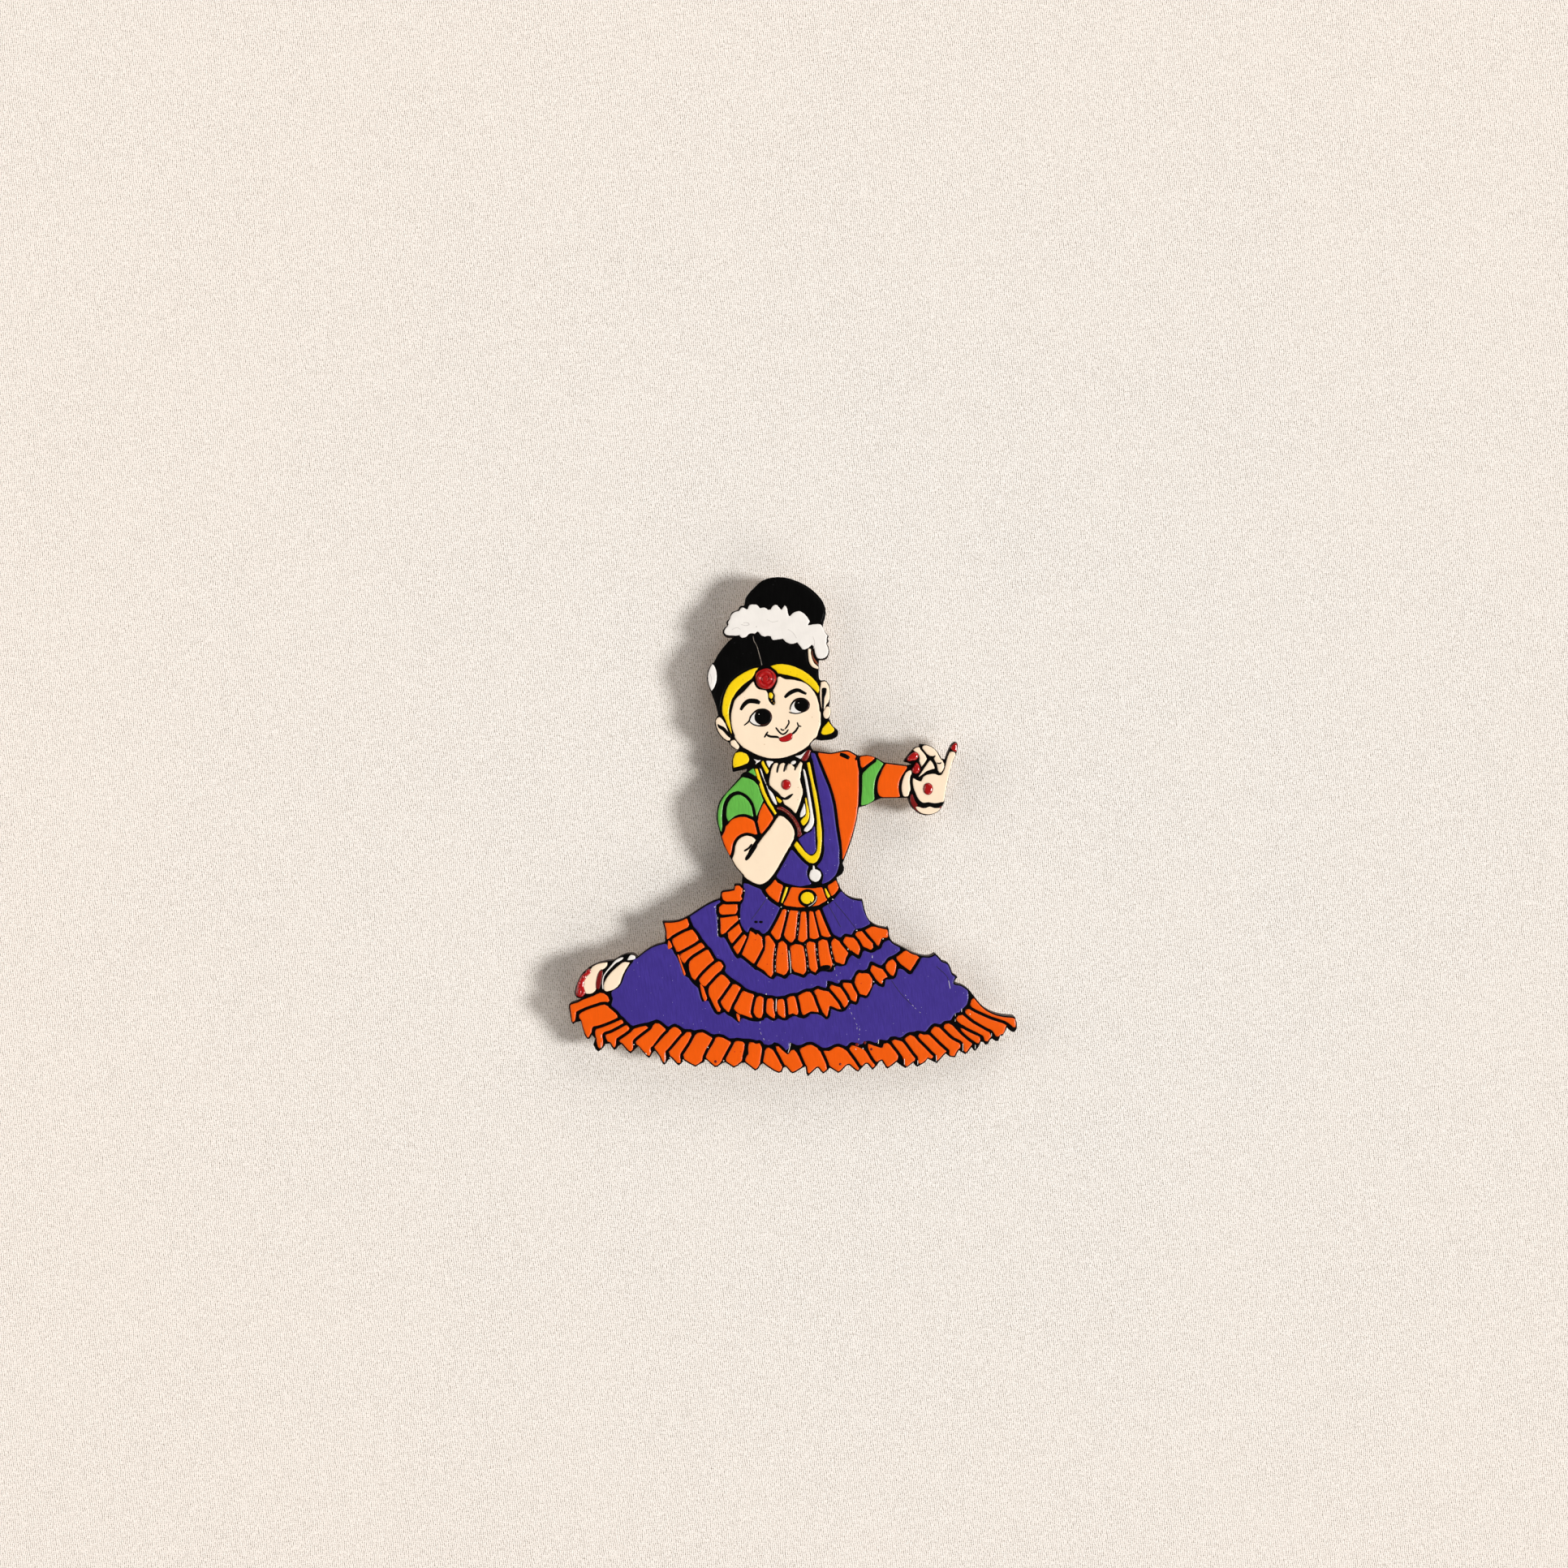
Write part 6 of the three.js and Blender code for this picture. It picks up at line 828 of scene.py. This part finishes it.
# ------------------------------------------------------------------ raised drops
def jewel(name, centre, radius, replaced):
    """A thick round drop with a spiral groove wound into it."""
    mesh = bmesh.new()
    layer = mesh.verts.layers.float.new("edge_mm")
    rings, parts = 30, 96
    middle = mesh.verts.new((centre[0] * MM, -DROP_FRONT * MM + 0.05 * MM, centre[1] * MM))
    middle[layer] = radius
    rows = []
    for k in range(1, rings + 1):
        share = k / rings
        row = []
        for j in range(parts):
            turn = 2 * math.pi * j / parts
            groove = math.exp(-(((share * 2.3 - turn / (2 * math.pi)) % 1 - 0.5) / 0.19) ** 2)
            wave = 1 + 0.02 * math.sin(5 * turn + 1) + 0.015 * math.sin(3 * turn)
            rim = math.sqrt(max(0.0, 1 - max(0.0, (share - 0.72) / 0.28) ** 2))
            cut = 0.4 * groove * (0.2 < share < 0.9)
            left = 1 - cut - 0.12 * (share > 0.86)
            height = COAT_FRONT + (DROP_FRONT - COAT_FRONT) * rim * left
            r = radius * share * (wave if share > 0.9 else 1)
            v = mesh.verts.new(((centre[0] + r * math.cos(turn)) * MM, -height * MM,
                                (centre[1] + r * math.sin(turn)) * MM))
            v[layer] = radius * (1 - share)
            row.append(v)
        rows.append(row)
    for j in range(parts):
        mesh.faces.new([middle, rows[0][j], rows[0][(j + 1) % parts]])
    for one, two in zip(rows, rows[1:]):
        for j in range(parts):
            mesh.faces.new([one[j], two[j], two[(j + 1) % parts], one[(j + 1) % parts]])
    close_back(mesh, [e for e in mesh.edges if e.is_boundary])
    for face in mesh.faces:
        face.smooth = len(face.verts) < 5
    data = bpy.data.meshes.new(name)
    mesh.to_mesh(data)
    mesh.free()
    return piece(name, data, LOOKS["red_paint"], replaced)


jewel("forehead_jewel_paint", (-3.06, 46.47), 1.65, ["forehead_jewel"])
paint("palm_dots_paint", [*cad_loops("palm_dot_left"), *cad_loops("palm_dot_right")],
      LOOKS["red_paint"], back=6.42, front=6.75, rim=0.6, uneven=0.15, grid=0.2,
      replaced=["palm_dot_left", "palm_dot_right"])
nail_loops = [run_out(loop, [OUTLINE], OUTLINE, 0.17)
              for node in ("nail_upper", "nail_lower") for loop in cad_loops(node)]
paint("nails_paint", nail_loops, LOOKS["red_paint"],
      front=6.78, rim=0.5, uneven=0.3, grid=0.2, replaced=["nail_upper", "nail_lower"])
toe_nail_loops = [run_out(loop, [OUTLINE], OUTLINE, 0.15) for loop in cad_loops("toe_nails")]
paint("toe_nails_paint", toe_nail_loops, LOOKS["red_paint"], front=6.62, rim=0.35,
      uneven=0.4, grid=0.25, replaced=["toe_nails"])
marks("toe_drops", [
    oval(-30.4, 1.5, 0.3, 0.22), oval(-31.2, 0.6, 0.26, 0.34), oval(-31.8, -0.4, 0.22, 0.3),
    oval(-31.75, -1.7, 0.4, 0.6),
], "red_paint", back=6.5, front=6.8, rim=0.25)


# ------------------------------------------------------------------ back: magnets and glue
FERRITE = ferrite_look()
GLUE = glue_look()
MAGNET_PROFILE = [(0.5, 0), (7.15, 0), (7.42, 0.08), (7.5, 0.35), (7.5, 2.65), (7.42, 2.92),
                  (7.15, 3.0), (0.5, 3.0)]
GLUE_PROFILE = [(0.5, 3.0), (6.9, 2.98), (7.15, 3.0), (7.0, 3.1), (7.3, 3.2), (0.5, 3.2)]
for node, centre in MAGNET_PLACES.items():
    lathe(node + "_disc", centre, MAGNET_PROFILE, FERRITE, [node])
for node, centre in GLUE_PLACES.items():
    lathe(node + "_bead", centre, GLUE_PROFILE, GLUE, [node], wobble=0.04)


# ------------------------------------------------------------------ backdrop
THREAD_PITCH = 0.32  # millimetres


def cloth_look():
    """Pale plain-woven cotton with slubs, clear from behind so that the back can be seen."""
    look, tree, shader = new_look("pale_woven_cloth")
    place = add(tree, "TexCoord")["Object"]
    drift = add(tree, "TexNoise", {"Vector": place, "Scale": 500.0, "Detail": 4.0})[1]
    shift = (0.5 * MM,) * 3
    shifted = add(tree, "VectorMath", {0: drift, 1: shift}, operation="MULTIPLY")[0]
    woven = add(tree, "VectorMath", {0: place, 1: shifted}, operation="ADD")[0]
    across = add(tree, "SeparateXYZ", {0: woven})
    pitch = THREAD_PITCH * MM
    waves = []
    for one, other, lean in ((0, 2, 0.13), (2, 0, -0.1)):
        mixed = {0: across[other], 1: lean, 2: across[one]}
        leaning = add(tree, "Math", mixed, operation="MULTIPLY_ADD")[0]
        turn = add(tree, "Math", {0: leaning, 1: math.pi / pitch}, operation="MULTIPLY")[0]
        wave = add(tree, "Math", {0: turn}, operation="SINE")[0]
        waves.append(add(tree, "Math", {0: wave}, operation="ABSOLUTE")[0])
    weft = add(tree, "Math", {0: waves[1], 1: 0.35}, operation="MULTIPLY")[0]
    threads = add(tree, "Math", {0: waves[0], 1: 1.0, 2: weft}, operation="MULTIPLY_ADD")[0]
    slub_up = noise(tree, place, 8.5, 1.0, (1, 1, 0.3), 0.13)
    slub_across = noise(tree, place, 7.5, 1.0, (0.6, 1, 1))
    grain = noise(tree, place, 11.0, 1.0)
    slubs = add(tree, "Math", {0: slub_across, 1: 0.5, 2: slub_up}, operation="MULTIPLY_ADD")[0]
    uneven = add(tree, "Math", {0: grain, 1: 0.8, 2: slubs}, operation="MULTIPLY_ADD")[0]
    pits = add(tree, "Math", {0: uneven, 1: 1.9, 2: threads}, operation="MULTIPLY_ADD")[0]
    mottle = noise(tree, place, 0.05, 4.0)
    body = blend_colour(tree, ramp(tree, uneven, 0.9, 1.4), linear("f1ece5"), linear("fffdfb"))
    # Painted light: the cloth turns a little warmer away from the figure, standing in for the
    # uneven warm room light on it.
    offset = add(tree, "VectorMath", {0: place, 1: (0.03, 0, 0.02)}, operation="SUBTRACT")[0]
    away = add(tree, "VectorMath", {0: offset}, operation="LENGTH")[1]
    body = blend_colour(tree, ramp(tree, away, 0.05, 0.15, 0, 0.5), body, linear("fff5ec"))
    # Painted shade: where the weave is low, in the gaps between the threads, the cloth is darkened
    # towards brown grey.
    body = blend_colour(tree, ramp(tree, pits, 2.1, 3.0, 0.9, 0), body, linear("776b5d"))
    body = blend_colour(tree, ramp(tree, mottle, 0.35, 0.65, 0, 0.15), body, linear("f6efe7"))
    tree.links.new(body, shader.inputs["Base Color"])
    shader.inputs["Roughness"].default_value = 0.95
    shader.inputs["Specular IOR Level"].default_value = 0.1
    bump = add(tree, "Bump", {"Height": pits, "Strength": 0.4, "Distance": 0.08 * MM})[0]
    tree.links.new(bump, shader.inputs["Normal"])
    clear = tree.nodes.new("ShaderNodeBsdfTransparent")
    behind = add(tree, "NewGeometry")["Backfacing"]
    mix = tree.nodes.new("ShaderNodeMixShader")
    tree.links.new(behind, mix.inputs[0])
    tree.links.new(shader.outputs[0], mix.inputs[1])
    tree.links.new(clear.outputs[0], mix.inputs[2])
    output = next(n for n in tree.nodes if n.type == "OUTPUT_MATERIAL")
    tree.links.new(mix.outputs[0], output.inputs[0])
    return look


BACKDROP_REACH = 3.0  # metres each way
BACKDROP_GAP = 0.1 * MM  # behind the magnets' back faces
sheet_mesh = bpy.data.meshes.new("backdrop_cloth")
sheet_mesh.from_pydata([(x * BACKDROP_REACH, BACKDROP_GAP, z * BACKDROP_REACH)
                        for x, z in ((-1, -1), (1, -1), (1, 1), (-1, 1))], [], [(0, 1, 2, 3)])
sheet_mesh.materials.append(cloth_look())
backdrop = bpy.data.objects.new("backdrop_cloth", sheet_mesh)
bpy.context.scene.collection.objects.link(backdrop)
backdrop.visible_shadow = False


# ------------------------------------------------------------------ light and camera
def lamp(name, kind, strength, colour, place, size):
    data = bpy.data.lights.new(name, kind)
    data.energy = strength
    data.color = colour
    if kind == "SUN":
        data.angle = size
    else:
        data.shape = "DISK"
        data.size = size
    obj = bpy.data.objects.new(name, data)
    bpy.context.scene.collection.objects.link(obj)
    obj.location = place
    obj.rotation_mode = "QUATERNION"
    obj.rotation_quaternion = Vector(place).to_track_quat("Z", "Y")
    return obj


WARM = (1.0, 0.93, 0.87)  # light sent back by a pale room
lamp("key", "SUN", 2.8, (1.0, 0.985, 0.96), (0.76, -0.65, -0.1), 0.24)
lamp("fill_left", "AREA", 2.15, WARM, (-0.75, -0.6, 0.1), 0.7)
lamp("fill_top", "AREA", 2.5, WARM, (0.4, -0.6, 0.75), 0.7)
lamp("fill_low", "AREA", 2.7, WARM, (0.5, -0.6, -0.7), 0.7)
lamp("back_fill", "AREA", 3.0, (1.0, 0.96, 0.92), (0.5, 0.8, 0.5), 0.6)

world = bpy.data.worlds.new("studio")
world.use_nodes = True
world.node_tree.nodes["Background"].inputs[0].default_value = (*WARM, 1)
world.node_tree.nodes["Background"].inputs[1].default_value = 0.12
bpy.context.scene.world = world
bpy.context.scene.view_settings.view_transform = "Standard"

FRAME_WIDTH = 241.5  # millimetres seen across, at the figure's front
FRAME_CENTRE = (-0.25, 30.25)
LENS = 50
SENSOR = 36
camera_data = bpy.data.cameras.new("camera")
camera_data.lens = LENS
camera_data.sensor_width = SENSOR
camera_data.clip_start = 0.01
camera = bpy.data.objects.new("camera", camera_data)
bpy.context.scene.collection.objects.link(camera)
distance = FRAME_WIDTH * LENS / SENSOR
camera.location = (FRAME_CENTRE[0] * MM, -(FILM_FRONT + distance) * MM, FRAME_CENTRE[1] * MM)
camera.rotation_euler = (math.pi / 2, 0, 0)
bpy.context.scene.camera = camera
